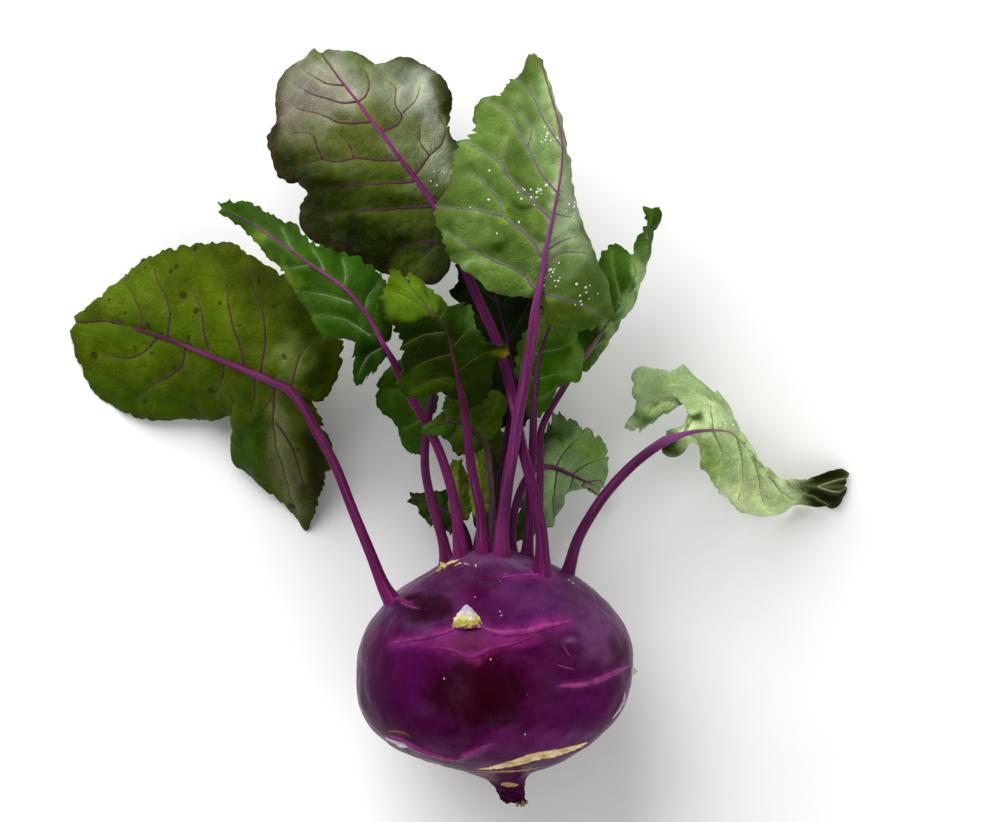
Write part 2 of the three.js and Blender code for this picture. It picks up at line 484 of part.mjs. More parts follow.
    rib: [[-4, 71.4, 55.4], [-8.6, 76.4, 57], [-14, 78.4, 60], [-19, 77.6, 63], [-24, 75.4, 66]],
    left: [[-5.4, 69.8, 52.4], [-9, 68, 53], [-12.8, 66.6, 55], [-15, 70.4, 57.4],
      [-18.4, 73.4, 60.6], [-22, 74.4, 62.6], [-24.6, 75, 63.8]],
    right: [[-1.6, 73.6, 52.6], [2.4, 79, 51], [2.6, 86.6, 50], [-4, 88.6, 50], [-10, 88.6, 52],
      [-14, 86.4, 55], [-17.4, 85.6, 56], [-17.6, 81.4, 58.4], [-19.4, 78.6, 60.4],
      [-24.2, 76.4, 63.8]],
    fan: 1, radii: [1.5, 1.1, 0.9, 0.45], rows: 12, columns: 2, bulge: 0.08, wave: 0.6, waves: 3.6,
  },
  {
    name: 'heart_front',
    stalk: [[-6.2, 32, 44], [-6.2, 38.4, 48], [-5.6, 42.6, 49]],
    rib: [[-5.4, 47, 50], [-5.4, 54, 51], [-6, 62, 51.6], [-7, 71, 51.4]],
    left: [[-6.8, 47, 47.4], [-8.8, 52, 46], [-9.2, 59, 46], [-9.6, 66, 46], [-8.4, 72.6, 48]],
    right: [[-4, 47, 47.4], [-2.6, 52, 46], [-2.8, 59, 46], [-3.6, 66, 46], [-5.8, 72.8, 48]],
    fan: 1, radii: [1.6, 1.1, 0.9, 0.45], rows: 12, columns: 2, bulge: 0.05, wave: 0.7, waves: 5.4,
  },
  {
    name: 'heart_back',
    stalk: [[-3.4, 29, 34], [-3.6, 35.4, 36.4]],
    rib: [[-3.4, 40.6, 36.6], [-3, 50, 35.4], [-2, 60, 34], [-1.4, 69, 32], [-2, 77, 29]],
    left: [[-5.6, 40.6, 34], [-8, 48, 31], [-9, 57, 29], [-8.6, 66, 27.6], [-7, 73, 26.6],
      [-3.6, 78, 26.6]],
    right: [[-1.2, 40.6, 34], [2.6, 48, 31], [4.4, 57, 29], [5, 66, 27.6], [3.4, 73, 26.6],
      [-0.6, 78, 26.6]],
    fan: 1, radii: [1.7, 1.2, 1, 0.45], rows: 12, columns: 2, bulge: 0.06, wave: 0.7, waves: 4.4,
  },
  {
    name: 'heart_side',
    stalk: [[-10.6, 31, 41], [-11, 37, 44], [-11.4, 41.6, 45]],
    rib: [[-11.8, 46, 45.4], [-12.2, 53, 45], [-12.6, 59, 43.6], [-12.6, 65.6, 41.4]],
    left: [[-13.2, 46, 43], [-15.4, 51, 41], [-15.8, 57, 39.6], [-15, 61.4, 38.6],
      [-13.6, 65.6, 38.6]],
    right: [[-10, 46, 43], [-8, 51, 41], [-8.8, 58, 39.6], [-10.2, 63, 38.6], [-11.8, 66, 38.6]],
    fan: 1, radii: [1.6, 1.1, 0.9, 0.45], rows: 10, columns: 2, bulge: 0.05, wave: 0.5, waves: 4.4,
  },
];

const RUFFLE_PHASE = { left: 0.4, right: 2.1 };
const RUFFLE_SPREAD = 1.6; // how strongly the ruffles keep to the edge
const NARROW_BLADE = 12; // below this width from midrib to edge, the ruffles get shallower

// Radius of a stalk from its foot (0) over the start of the blade to the midrib's end (1).
function stalkRadius(leaf, bladeStart, t) {
  const [foot, stem, ribStart, ribEnd] = leaf.radii;
  const flare = (foot - stem) * Math.exp(-t / STALK_FLARE);
  if (t < bladeStart) {
    return flare + THREE.MathUtils.mapLinear(t, 0, bladeStart, stem, ribStart);
  }
  return THREE.MathUtils.mapLinear(t, bladeStart, 1, ribStart, ribEnd);
}

function stalkGeometry(leaf) {
  const ribCurve = curveThrough(leaf.rib);
  const ribPoints = [];
  const ribSteps = leaf.rib.length * 2;
  for (let i = 0; i <= ribSteps; i += 1) {
    ribPoints.push(ribCurve.getPointAt((i / ribSteps) * RIB_REACH).toArray());
  }
  const curve = curveThrough([...leaf.stalk, ...ribPoints]);
  const stemLength = curveThrough([...leaf.stalk, leaf.rib[0]]).getLength();
  const bladeStart = stemLength / curve.getLength();
  const steps = Math.round(curve.getLength() / STALK_STEP);
  return taperedTube(curve, (t) => stalkRadius(leaf, bladeStart, t), STALK_SIDES, steps);
}

// The blade's middle surface at a row (0 at the base, 1 at the tip) and a place across it
// (-1 at the left edge, 0 under the midrib, 1 at the right edge).
function bladeSurface(leaf) {
  const lines = {
    rib: curveThrough(leaf.rib),
    left: curveThrough(leaf.left),
    right: curveThrough(leaf.right),
    leftFold: leaf.leftFold && curveThrough(leaf.leftFold),
    rightFold: leaf.rightFold && curveThrough(leaf.rightFold),
  };
  const [, , ribStart, ribEnd] = leaf.radii;

  return (row, across) => {
    const along = row ** leaf.fan;
    const rib = lines.rib.getPointAt(along);
    const tangent = lines.rib.getTangentAt(along);
    const left = lines.left.getPointAt(row);
    const right = lines.right.getPointAt(row);
    const toLeft = left.clone().sub(rib).normalize();
    const toRight = right.clone().sub(rib).normalize();
    const face = new THREE.Vector3().crossVectors(toRight.sub(toLeft), tangent).normalize();
    const drop = THREE.MathUtils.lerp(ribStart, ribEnd, along) + GAP + BLADE_THICKNESS / 2;
    const middle = rib.clone().addScaledVector(face, -drop);

    const side = across < 0 ? 'left' : 'right';
    const edge = side === 'left' ? left : right;
    const reach = Math.abs(across);
    const width = edge.distanceTo(middle);
    const fold = lines[`${side}Fold`];
    const half = fold
      ? fold.getPointAt(row)
      : middle.clone().lerp(edge, 0.5).addScaledVector(face, leaf.bulge * width);
    const pull = half.clone().multiplyScalar(2).addScaledVector(middle, -0.5).addScaledVector(edge, -0.5);
    const point = middle.clone().multiplyScalar((1 - reach) ** 2)
      .addScaledVector(pull, 2 * reach * (1 - reach))
      .addScaledVector(edge, reach ** 2);
    const swing = Math.sin(row * Math.PI * 2 * leaf.waves + RUFFLE_PHASE[side]);
    const ruffle = leaf.wave * reach ** RUFFLE_SPREAD * swing * Math.min(1, width / NARROW_BLADE);
    return point.addScaledVector(face, ruffle);
  };
}

function bladeGeometry(leaf) {
  const surface = bladeSurface(leaf);
  const wide = leaf.columns * 2 + 1;
  const rows = [];
  for (let k = 0; k <= leaf.rows; k += 1) {
    const row = [];
    for (let c = 0; c < wide; c += 1) {
      const across = (c - leaf.columns) / leaf.columns;
      const point = surface(k / leaf.rows, across);
      const atEdge = Math.abs(across) === 1 && k > 0 && k < leaf.rows;
      if (atEdge && k % 2 === 1) {
        const nextIn = (c === 0 ? 1 - leaf.columns : leaf.columns - 1) / leaf.columns;
        const inward = surface(k / leaf.rows, nextIn).sub(point).normalize();
        point.addScaledVector(inward, TOOTH_DEPTH);
      }
      row.push(point);
    }
    rows.push(row);
  }

  const positions = [];
  const triangles = [];
  const half = BLADE_THICKNESS / 2;
  rows.forEach((row, k) => {
    row.forEach((point, c) => {
      const before = rows[Math.max(k - 1, 0)][c];
      const after = rows[Math.min(k + 1, leaf.rows)][c];
      const across = row[Math.min(c + 1, wide - 1)].clone().sub(row[Math.max(c - 1, 0)]);
      const normal = across.cross(after.clone().sub(before)).normalize();
      const lowest = point.z - Math.abs(normal.z) * half;
      const lift = Math.max(0, -lowest);
      for (const sign of [1, -1]) {
        positions.push(
          point.x + normal.x * half * sign,
          point.y + normal.y * half * sign,
          point.z + normal.z * half * sign + lift,
        );
      }
    });
  });

  const top = (k, c) => (k * wide + c) * 2;
  const bottom = (k, c) => top(k, c) + 1;
  for (let k = 0; k < leaf.rows; k += 1) {
    for (let c = 0; c < wide - 1; c += 1) {
      triangles.push(top(k, c), top(k, c + 1), top(k + 1, c + 1));
      triangles.push(top(k, c), top(k + 1, c + 1), top(k + 1, c));
      triangles.push(bottom(k, c), bottom(k + 1, c + 1), bottom(k, c + 1));
      triangles.push(bottom(k, c), bottom(k + 1, c), bottom(k + 1, c + 1));
    }
    const last = wide - 1;
    triangles.push(top(k, 0), top(k + 1, 0), bottom(k + 1, 0));
    triangles.push(top(k, 0), bottom(k + 1, 0), bottom(k, 0));
    triangles.push(top(k, last), bottom(k, last), bottom(k + 1, last));
    triangles.push(top(k, last), bottom(k + 1, last), top(k + 1, last));
  }
  for (let c = 0; c < wide - 1; c += 1) {
    const tip = leaf.rows;
    triangles.push(top(0, c), bottom(0, c), bottom(0, c + 1));
    triangles.push(top(0, c), bottom(0, c + 1), top(0, c + 1));
    triangles.push(top(tip, c), top(tip, c + 1), bottom(tip, c + 1));
    triangles.push(top(tip, c), bottom(tip, c + 1), bottom(tip, c));
  }
  return closedGeometry(positions, triangles);
}

// ---------------------------------------------------------------- materials

const SKIN = { color: 0x4a1240, roughness: 0.35, metalness: 0 };
const STALK = { color: 0x6a1e5c, roughness: 0.45, metalness: 0 };
const GREENS = {
  left: 0x5a6f1c, top_left: 0x7a8a6a, top_middle: 0x6f9a4a, mid_left: 0x2f6a2a, middle: 0x4a6a14,
  drooping: 0x8fb05a, heart_front: 0x6f8a1c, heart_side: 0x7a8a24,
};
const SHADED_GREEN = 0x3a5a1c;

function namedMesh(name, geometry, look) {
  const mesh = new THREE.Mesh(geometry, new THREE.MeshStandardMaterial(look));
  mesh.name = name;
  return mesh;
}

// ---------------------------------------------------------------- the plant

const kohlrabi = new THREE.Group();
kohlrabi.position.y = -REST_SPOT_Y;

const bulb = bulbSolid().subtract(flatSpotCutter());
kohlrabi.add(namedMesh('bulb', toGeometry(bulb), SKIN));

const bulbClearance = bulbSolid(GAP);
LEAVES.forEach((leaf) => {
  const stalk = toSolid(stalkGeometry(leaf)).subtract(bulbClearance);
  kohlrabi.add(namedMesh(`stalk_${leaf.name}`, toGeometry(stalk), STALK));
  const green = { color: GREENS[leaf.name] ?? SHADED_GREEN, roughness: 0.55, metalness: 0 };
  kohlrabi.add(namedMesh(`blade_${leaf.name}`, bladeGeometry(leaf), green));
});

export default kohlrabi;
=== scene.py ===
"""A purple kohlrabi lying on its side with its leaves on: its looks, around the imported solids.

Lengths are in millimetres, in the plan that the plant was drawn in: x to the right, y from the root
stub to the leaves, z up from the surface. placed() turns them into the frame's metres.
"""

import math

import bpy
import numpy as np
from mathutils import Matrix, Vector
from mathutils.bvhtree import BVHTree
from mathutils.kdtree import KDTree


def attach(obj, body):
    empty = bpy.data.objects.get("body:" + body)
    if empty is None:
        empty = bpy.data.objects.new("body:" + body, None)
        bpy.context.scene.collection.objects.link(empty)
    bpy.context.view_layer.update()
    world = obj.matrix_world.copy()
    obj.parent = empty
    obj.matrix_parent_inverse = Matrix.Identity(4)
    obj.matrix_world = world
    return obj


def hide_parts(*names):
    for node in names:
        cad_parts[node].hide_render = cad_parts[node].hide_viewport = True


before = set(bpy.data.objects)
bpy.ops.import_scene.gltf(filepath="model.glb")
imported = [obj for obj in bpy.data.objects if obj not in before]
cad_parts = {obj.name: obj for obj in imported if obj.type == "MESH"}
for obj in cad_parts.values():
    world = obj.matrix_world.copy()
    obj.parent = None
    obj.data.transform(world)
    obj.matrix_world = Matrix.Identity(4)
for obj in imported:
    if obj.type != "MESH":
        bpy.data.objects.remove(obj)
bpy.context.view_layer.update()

# ---------------------------------------------------------------- sizes

MM = 0.001
REST_SPOT_Y = 3  # the frame's origin is the rest spot, this far from the plan's origin
BULB_RADIUS = 45
BULB_HEIGHT = 43.5  # of the bulb's axis where it crosses the plan's origin
CROWN_TILT = math.radians(10)
TILT_COS, TILT_SIN = math.cos(CROWN_TILT), math.sin(CROWN_TILT)
BULB_MESH = dict(upper=236, lower=96, rings=232)  # steps around the upper and lower side, and along

SHEET = 0.45  # thickness of a leaf blade
ROW_STEP = 0.85  # spacing of a blade's mesh along its longer edge
COLUMN_STEP = 0.9  # and from the midrib to an edge
ROW_LIMITS, COLUMN_LIMITS = (30, 230), (7, 40)  # fewest and most of them
RIB_SEAT = 0.35  # the blade meets its midrib this share of the midrib's radius below its middle
RIB_REACH = 0.985  # the share of the midrib's line that is built
TOOTH_DEPTH = 1.7
ROUND_TEETH = ((6.4, 0.75), (2.9, 0.4))  # spacing, share of the depth
POINTED_TEETH = ((4.4, 0.75), (2.4, 0.35))
HALVES = {"left": (3, 0.4), "right": (15, 2.1)}  # seed of a half's teeth, phase of its waves
MAIN_VEIN = dict(base=0.25, gain=0.009, most=0.5, tip=0.18)  # radii; gain is per millimetre of length
FINE_VEIN = (0.14, 0.06)  # radii at foot and tip
QUILTS = (1.3, 2.6), (0.3, 1.5)  # the blade's rise beside main and fine veins, over what width
FACE_CALM, EDGE_CALM = 3, 4  # lengths over which the blade's lean and its edge are smoothed
NARROW = 12  # a half narrower than this waves less
BRANCH_START, BRANCH_GAP = (4, 9), (9, 17)  # where a vein's first branch leaves, and the next
BRANCH_LENGTH, BRANCH_TURN = (4, 10), (0.75, 1.15)  # millimetres, radians from the vein
VEIN_SIDES, STALK_SIDES, RIDGE_SIDES = 6, 16, 14
STALK_STEP = 1.2  # spacing of a stalk's rings
FOOT_FLARE, FLARE_LENGTH = 2.0, 4.4  # a stalk's foot is this much thicker, and over what length
FOOT_SUNK = 3  # and starts this far inside the bulb
RIB_TIP = 0.26  # radius of the midrib at its far end
CORK_THICKNESS = 0.9  # of the torn sheets on the bulb, most of it under the skin
ABOVE_LEAVES, ABOVE_BULB = 300, 200  # heights from which rays are cast down

# From the root stub's cut end to the crown: place along the axis, radius, shift to the right.
BULB_PROFILE = [
    (-46.5, 4.1, 5.6), (-43, 5, 4.7), (-39.5, 6.4, 3.3), (-37.2, 9.2, 1.6), (-35.2, 13.5, 0.4),
    (-33, 19.5, -1), (-30, 26.5, -1.8), (-25.5, 33.8, -2), (-20, 39.2, -1.7), (-14, 42.8, -1.1),
    (-7, 44.6, -0.6), (0, 45, -0.4), (6, 44.4, -0.4), (12, 42.1, -0.4), (17, 38.7, -0.5),
    (21, 35, -0.7), (24.5, 30.6, -0.5), (28, 25.2, -0.3), (31, 19.8, -0.1), (33.6, 14.6, 0),
    (35.4, 9.6, 0), (36.4, 4.6, 0),
]
FLUTES = [(0.008, 5, 0.06), (0.006, 3, 0)]  # how deep, how many, twist per millimetre

# ---------------------------------------------------------------- shapes of the leaves

# For each leaf, from the foot out: lines through a few points (x, y, z) for the stalk, the rib, and
# the left and right edge of the blade; a fold line runs halfway between rib and edge. fan bunches the
# blade's rows towards its foot. radii are those of the stalk's foot and stem and of the rib's two
# ends. bulge lifts a half without a fold; wave and waves are the height and number of edge waves.
LEAVES = {
    "left": dict(
        fan=2.3, radii=(3, 1.75, 1.5, 0.5), bulge=0.05, wave=1.3, waves=5.3,
        stalk=[(-31.6, 16, 49), (-36, 23, 51), (-40.7, 34, 52), (-45.4, 46, 51), (-50, 57, 49), (-55, 68, 46),
            (-60, 77, 43), (-64.5, 84.5, 40)],
        rib=[(-68.5, 88.8, 38), (-76, 92.5, 35), (-84, 95.5, 31.5), (-93, 99.4, 27), (-103, 103.5, 21.5),
            (-111, 106.6, 16), (-120, 109.3, 9.5), (-129, 111, 4.5), (-137.5, 110.5, 1.5)],
        left=[(-60, 84, 35), (-57, 80, 31), (-54.5, 73, 26), (-54, 66, 19), (-55.4, 59.4, 12), (-57.8, 52.4, 6),
            (-62.8, 42.6, 1), (-66.4, 47.6, 1), (-72.4, 54.2, 2), (-78.6, 59.8, 4), (-86.8, 65.6, 5),
            (-85.6, 69.6, 8), (-80.8, 77, 13), (-84.8, 80.6, 13), (-94, 78.6, 8), (-104, 79, 5), (-114, 79, 2),
            (-124, 82.6, 0), (-131, 87, 0), (-136, 95, 0), (-139, 107.5, 0)],
        right=[(-60.8, 84.6, 35), (-57, 84.8, 35), (-53.6, 90, 35), (-50, 99, 35), (-49.5, 107, 35), (-53, 117, 35),
            (-62, 124.5, 34), (-72, 127.2, 32), (-79, 131.5, 29), (-84.5, 137, 25), (-90, 136.6, 22), (-98, 136, 18),
            (-106, 135, 14), (-114, 132, 10), (-122, 126, 6), (-130, 118.4, 3), (-138, 112.8, 1)],
    ),
    "top_left": dict(
        fan=1.7, radii=(3, 1.8, 1.5, 0.5), bulge=0.06, wave=1.3, waves=5.6,
        stalk=[(14.6, 26, 58), (14.8, 33, 62), (14.4, 42, 65), (12.4, 52, 66.5), (10.4, 61, 67), (8.4, 70, 67.4),
            (6.1, 80, 67.6), (3.4, 92, 68), (0.6, 102, 68), (-3.2, 112, 67), (-8, 123, 66), (-13.4, 135, 65)],
        rib=[(-20.4, 148.4, 64), (-26, 156.6, 64.5), (-32, 164, 64.6), (-40, 175, 63), (-46, 183, 59.6),
            (-52, 191, 54), (-57.2, 198, 47)],
        left=[(-20.5, 145.4, 60), (-16.8, 137, 56), (-15.8, 128, 52), (-22, 122.6, 51), (-31, 125.2, 52),
            (-40, 127.4, 53), (-50, 132.4, 53), (-59, 136.4, 52), (-64, 141, 50), (-63.6, 149, 51), (-61, 151.2, 53),
            (-64.6, 155.4, 51), (-70, 156.8, 49), (-73, 163, 48), (-74.4, 170.8, 46), (-71.9, 174.4, 48),
            (-72, 182, 46), (-70.2, 189.4, 43), (-65, 193.6, 42), (-58.6, 198.6, 42)],
        right=[(-17, 149.6, 61), (-11, 153, 58), (-9.6, 160, 57), (-12.6, 168, 58), (-15.4, 172.6, 59),
            (-14.4, 182, 56), (-17, 189, 53), (-22, 193, 50), (-30, 196.2, 47), (-38.6, 194.2, 49), (-46, 197.2, 46),
            (-54.6, 198.4, 43)],
    ),
    "top_middle": dict(
        fan=1.5, radii=(3.4, 2, 1.75, 0.55), bulge=0.05, wave=1.1, waves=6.4,
        stalk=[(1.6, 31, 52), (1.4, 38, 57), (2.6, 50, 62), (4.4, 64, 68), (6.8, 79, 75), (9.6, 94, 82),
            (11.2, 104, 86), (12.4, 113, 90)],
        rib=[(13.8, 121.6, 93.5), (15.2, 130, 97), (17.4, 140, 100), (19.2, 150, 102), (20.8, 160, 103),
            (20.8, 168, 103), (19, 177, 101), (16.4, 187, 97.5), (13.6, 195.6, 94)],
        left=[(12, 119.6, 88), (5.5, 119, 83), (-1, 119.8, 80), (-7, 125.4, 79), (-15, 130.2, 78), (-18.4, 138.6, 77),
            (-21, 147.4, 78), (-16, 154, 80), (-14.6, 160, 81), (-13.6, 169, 81), (-7.4, 173, 83), (-6.4, 180, 83),
            (-4.6, 183.4, 83), (1.4, 184.2, 86), (3.4, 189, 85), (8.2, 191, 88), (9.4, 196, 88), (12, 197.2, 89)],
        right=[(14.2, 117, 87), (15, 110.4, 81), (26, 107.4, 76), (33, 108, 74), (38, 110.8, 73), (36, 117, 75),
            (33.6, 122, 77), (30, 128, 78), (26, 134, 78), (22, 142, 78), (18, 152, 80), (15, 162, 82), (13, 172, 83),
            (12, 182, 85), (12.4, 191, 87), (14, 196, 89.6)],
        right_fold=[(14.6, 119.6, 90), (18, 115.8, 90), (24, 116, 89), (27.6, 118.4, 88), (29.4, 121.4, 88),
            (29.6, 126, 89), (28.8, 131, 90), (27.4, 137, 91), (25.8, 143, 92), (24.4, 149, 93), (23.2, 155, 94),
            (22, 162, 95), (20.8, 169, 95), (18.8, 177, 95), (16.4, 186, 94), (14, 195.4, 92.4)],
    ),
    "mid_left": dict(
        fan=1.4, radii=(2.6, 1.7, 1.35, 0.45), bulge=0.07, wave=1.1, waves=5.2,
        stalk=[(-11.4, 31, 48), (-12, 37, 52), (-12.8, 46, 54.6), (-14.6, 55, 56), (-17, 63, 57.2), (-20, 71, 59),
            (-23.6, 78.4, 61), (-28.4, 87, 64), (-33, 96.4, 69)],
        rib=[(-36.6, 103.4, 74.6), (-40.4, 110, 78), (-44.6, 116, 80), (-49.2, 121.2, 80), (-54, 125, 79),
            (-60, 129, 77), (-67, 133.6, 74), (-74, 138.6, 70), (-81, 143.4, 65.5), (-89.4, 147.6, 59.5)],
        left=[(-37.2, 99.4, 70.2), (-38.6, 96, 69), (-41.8, 92, 68), (-45, 88.6, 66), (-48, 96, 68),
            (-44, 102.6, 72.4), (-49, 105.2, 72), (-55.4, 104.8, 70), (-59.4, 109.6, 70), (-62, 115.4, 69),
            (-66, 120, 69), (-69.4, 125.8, 69), (-73.4, 130.8, 68), (-77, 135, 67), (-82, 140, 64), (-86, 143.4, 61),
            (-90, 146, 57.5)],
        right=[(-35.6, 105.4, 70.6), (-34, 110, 72), (-34.4, 115, 72.6), (-35.4, 123, 72), (-39.6, 128, 72),
            (-44.6, 131.6, 71), (-53.6, 134.2, 71), (-60, 136.6, 70), (-66, 142.6, 67), (-71, 144.6, 67),
            (-74, 146.6, 65), (-81, 149.2, 62), (-86.6, 150.4, 59), (-90.6, 149, 57)],
    ),
    "middle": dict(
        fan=1, radii=(3, 1.7, 1.4, 0.5), bulge=0.02, wave=1, waves=4.6,
        stalk=[(-4.4, 31, 52), (-4.4, 38, 56), (-5.4, 48, 58.6), (-7.2, 57.6, 60.4), (-8.8, 68, 63), (-10, 77, 67)],
        rib=[(-11, 84.6, 72), (-12.2, 91, 77.5), (-14, 99, 83), (-16.2, 106.6, 87.4), (-18.4, 111.4, 89),
            (-21.4, 116, 88.4), (-25.2, 120.6, 86), (-29.6, 124.6, 82.6)],
        left=[(-13.4, 86.6, 67.6), (-18.4, 89.8, 70.4), (-23, 88, 70.2), (-28, 86, 71), (-32.6, 88, 73),
            (-31.2, 94, 76), (-31.8, 99, 78.6), (-31.8, 105, 81), (-36.2, 110.6, 82.4), (-39.4, 114.6, 82),
            (-38.8, 119, 80.4), (-36, 122.6, 80), (-34.6, 127.6, 78.4), (-31.4, 127, 79.4)],
        right=[(-9, 83.2, 67.6), (-5.6, 83.6, 68), (-2.6, 86, 69.6), (-1.6, 92, 73), (0, 97.4, 76), (4.6, 100.2, 75),
            (3, 104.2, 78), (-3, 104.6, 82), (-6.6, 109.6, 83), (-8.4, 116.4, 80.6), (-13.4, 114.2, 84.6),
            (-17.6, 117.6, 84), (-21.4, 120.6, 82.6), (-23.6, 123.4, 81), (-28.6, 126.2, 79.6)],
    ),
    "back_middle": dict(
        fan=1.2, radii=(2.2, 1.5, 1.2, 0.5), bulge=0.06, wave=0.9, waves=4.2,
        stalk=[(0.8, 31, 40), (0.4, 37.4, 44), (0.6, 48, 47), (1.4, 60, 48), (2.6, 69, 48)],
        rib=[(4, 77, 47.6), (5.4, 86, 46.6), (5.4, 94, 45.8), (4.2, 101.6, 44.6), (1.6, 112, 42), (-1.6, 124, 38),
            (-4, 137, 33)],
        left=[(1.8, 76, 44.4), (-2, 82, 42), (-3.6, 90, 40), (-8, 96, 38.4), (-11, 103, 37), (-13.2, 111, 36),
            (-12, 115.4, 36.4), (-16, 121, 34), (-12.4, 123.6, 34.6), (-14, 131, 31), (-10.6, 138.4, 29),
            (-6, 142, 28)],
        right=[(6.4, 75.4, 44.4), (10, 78, 42.6), (11, 85, 41.6), (11.8, 91, 41), (14.4, 98.4, 40), (15.6, 108, 39),
            (14.6, 118, 37), (11, 127, 35), (6.6, 135, 32), (-2, 142, 28.4)],
    ),
    "right_cupped": dict(
        fan=1, radii=(2.3, 1.35, 1.05, 0.45), bulge=0.08, wave=0.8, waves=4.4,
        stalk=[(13.4, 28, 38), (14.4, 34.6, 41), (13.8, 45, 44), (14, 55, 46), (14, 65, 45.6), (14.6, 74, 45),
            (17.2, 82, 45), (21.8, 89.8, 45.4)],
        rib=[(26.2, 96.6, 46.6), (31.2, 102.8, 49), (36, 109.6, 52), (40.6, 117, 54.4), (44.6, 125, 54),
            (48, 133, 53), (49.6, 140, 51), (50.2, 147.4, 48)],
        left=[(26.4, 96.8, 43), (23.4, 102, 39), (22.6, 110, 39.6), (25.6, 117.4, 43), (30.4, 122.8, 44),
            (32, 128.4, 44), (34, 133.6, 44), (38.6, 136.2, 44), (41.6, 134, 46), (43, 130.8, 48), (44.6, 134, 47),
            (46, 138, 46), (48.2, 140, 47), (48.4, 148, 44)],
        right=[(27.8, 94, 43), (31.8, 99, 38), (36.8, 106, 34), (41.8, 114.2, 33), (45.6, 122.6, 32), (48, 131.4, 34),
            (49.6, 138, 40), (53.2, 143.6, 44), (52, 147.8, 45)],
        right_fold=[(27.4, 95.4, 44.6), (32.2, 101.2, 44.4), (37.2, 108.2, 44), (42.2, 116.2, 44.6),
            (46.4, 124.6, 44), (48.6, 133, 44.4), (50, 139.6, 46), (51.8, 144, 47), (51.2, 147.8, 46.8)],
    ),
    "low_right": dict(
        fan=1.4, radii=(2.2, 1.5, 1.2, 0.5), bulge=0.08, wave=0.8, waves=4.4,
        stalk=[(5.4, 29, 34), (5, 35.6, 37), (5, 44, 39), (6.6, 53, 38), (9, 59, 35)],
        rib=[(12, 62.6, 32.4), (17, 63, 29), (23, 61, 25), (29, 58.6, 20.6), (34, 56.4, 16)],
        left=[(11.4, 65.4, 29.6), (13, 73, 27), (18.6, 82, 24), (22.8, 79.8, 23), (29.4, 77, 20), (34, 73, 17),
            (36.6, 67, 14), (35, 60.6, 13), (34.8, 57, 12)],
        right=[(10, 59.4, 29.6), (7, 53, 25), (5.4, 45, 20), (5.4, 38.4, 17), (9.6, 40.4, 15), (13, 43.4, 13),
            (18.4, 43.6, 10), (18.8, 46.2, 11), (16.6, 49.4, 13), (16.8, 52.8, 15), (21.4, 55.2, 15),
            (27, 57.4, 14.6), (32.4, 54.2, 11)],
    ),
    "low_left": dict(
        fan=1.1, radii=(2, 1.3, 1, 0.5), bulge=0.08, wave=0.6, waves=3.2,
        stalk=[(-8.4, 28, 32), (-9, 34, 34.4), (-10, 40, 34.6)],
        rib=[(-12, 44.8, 33), (-16.6, 48.6, 29), (-22, 51.8, 24), (-28, 53.4, 18)],
        left=[(-12.4, 42.6, 30), (-15, 40.8, 27), (-20.4, 43, 22), (-23.4, 46, 19), (-25.4, 49.6, 17),
            (-28.8, 52.4, 14.6)],
        right=[(-10, 46.4, 30), (-9.4, 53, 28), (-13.6, 57, 26), (-18, 56, 24), (-23, 54.6, 20), (-28.4, 54.6, 15)],
    ),
    "back_left": dict(
        fan=1.5, radii=(2.6, 1.7, 1.3, 0.5), bulge=0.07, wave=0.9, waves=4.6,
        stalk=[(-15.6, 28, 43), (-16.6, 34.6, 46), (-19, 44, 48), (-21.6, 54, 48.4), (-23.2, 63, 48), (-23, 72, 47)],
        rib=[(-22, 80, 45), (-20.8, 88, 43), (-20.2, 96, 40), (-21.6, 104, 36), (-23.4, 112, 31)],
        left=[(-23.8, 78.4, 41), (-22.8, 72, 37), (-24, 66.8, 33), (-28.4, 68.2, 29), (-31.6, 72.4, 27),
            (-33, 77.4, 26), (-36.8, 80.4, 23), (-39.6, 84.8, 22), (-38.8, 91.2, 23), (-34.6, 95.4, 25),
            (-30.6, 99, 26), (-28.6, 106, 26), (-25, 113, 26)],
        right=[(-20, 81.4, 41), (-19.4, 87, 39), (-16.4, 92, 36), (-12.4, 97.4, 33), (-11, 104, 31), (-14.4, 110, 29),
            (-22, 113.6, 26.4)],
    ),
    "right_folded": dict(
        fan=1.1, radii=(2.4, 1.6, 1.25, 0.5), bulge=0.07, wave=0.8, waves=4.2,
        stalk=[(9.4, 30, 43), (9.8, 36, 47), (10.6, 45, 51), (10.8, 55, 54.4), (11.4, 66, 57.4), (11.8, 73, 59.4)],
        rib=[(12, 80, 61), (12.4, 88, 62.4), (13, 95.6, 63.6), (14.6, 103, 64.4), (17.2, 110, 64), (20.6, 117, 62)],
        left=[(10.4, 79.6, 57.4), (8.6, 84, 57), (6.6, 90, 57), (5.4, 97, 56), (7, 104, 56), (11.4, 112, 56),
            (18.6, 118.4, 57)],
        right=[(13.8, 79.4, 57.4), (16.6, 83.4, 57), (19.4, 88.8, 56.6), (23.6, 91.2, 56), (27, 91.6, 54),
            (27.2, 98, 53), (26, 105, 53), (25.6, 112, 54), (22.4, 118.4, 57)],
        right_fold=[(13, 79.8, 58.6), (15, 84, 59.6), (17.4, 89, 60.4), (20, 92.6, 60.6), (22.8, 96, 60),
            (23.4, 101, 60), (22.8, 106, 60.4), (22.4, 112, 60.4), (21.6, 117.8, 59.6)],
    ),
    "drooping": dict(
        fan=1.4, radii=(2.8, 1.8, 1.6, 0.5), bulge=0.12, wave=0.8, waves=5.4,
        stalk=[(21.6, 23, 36), (23.6, 30.4, 39), (26.2, 39, 42), (30.6, 47.6, 46), (36, 55.6, 50), (42.2, 62.4, 52.6),
            (48.6, 68, 54)],
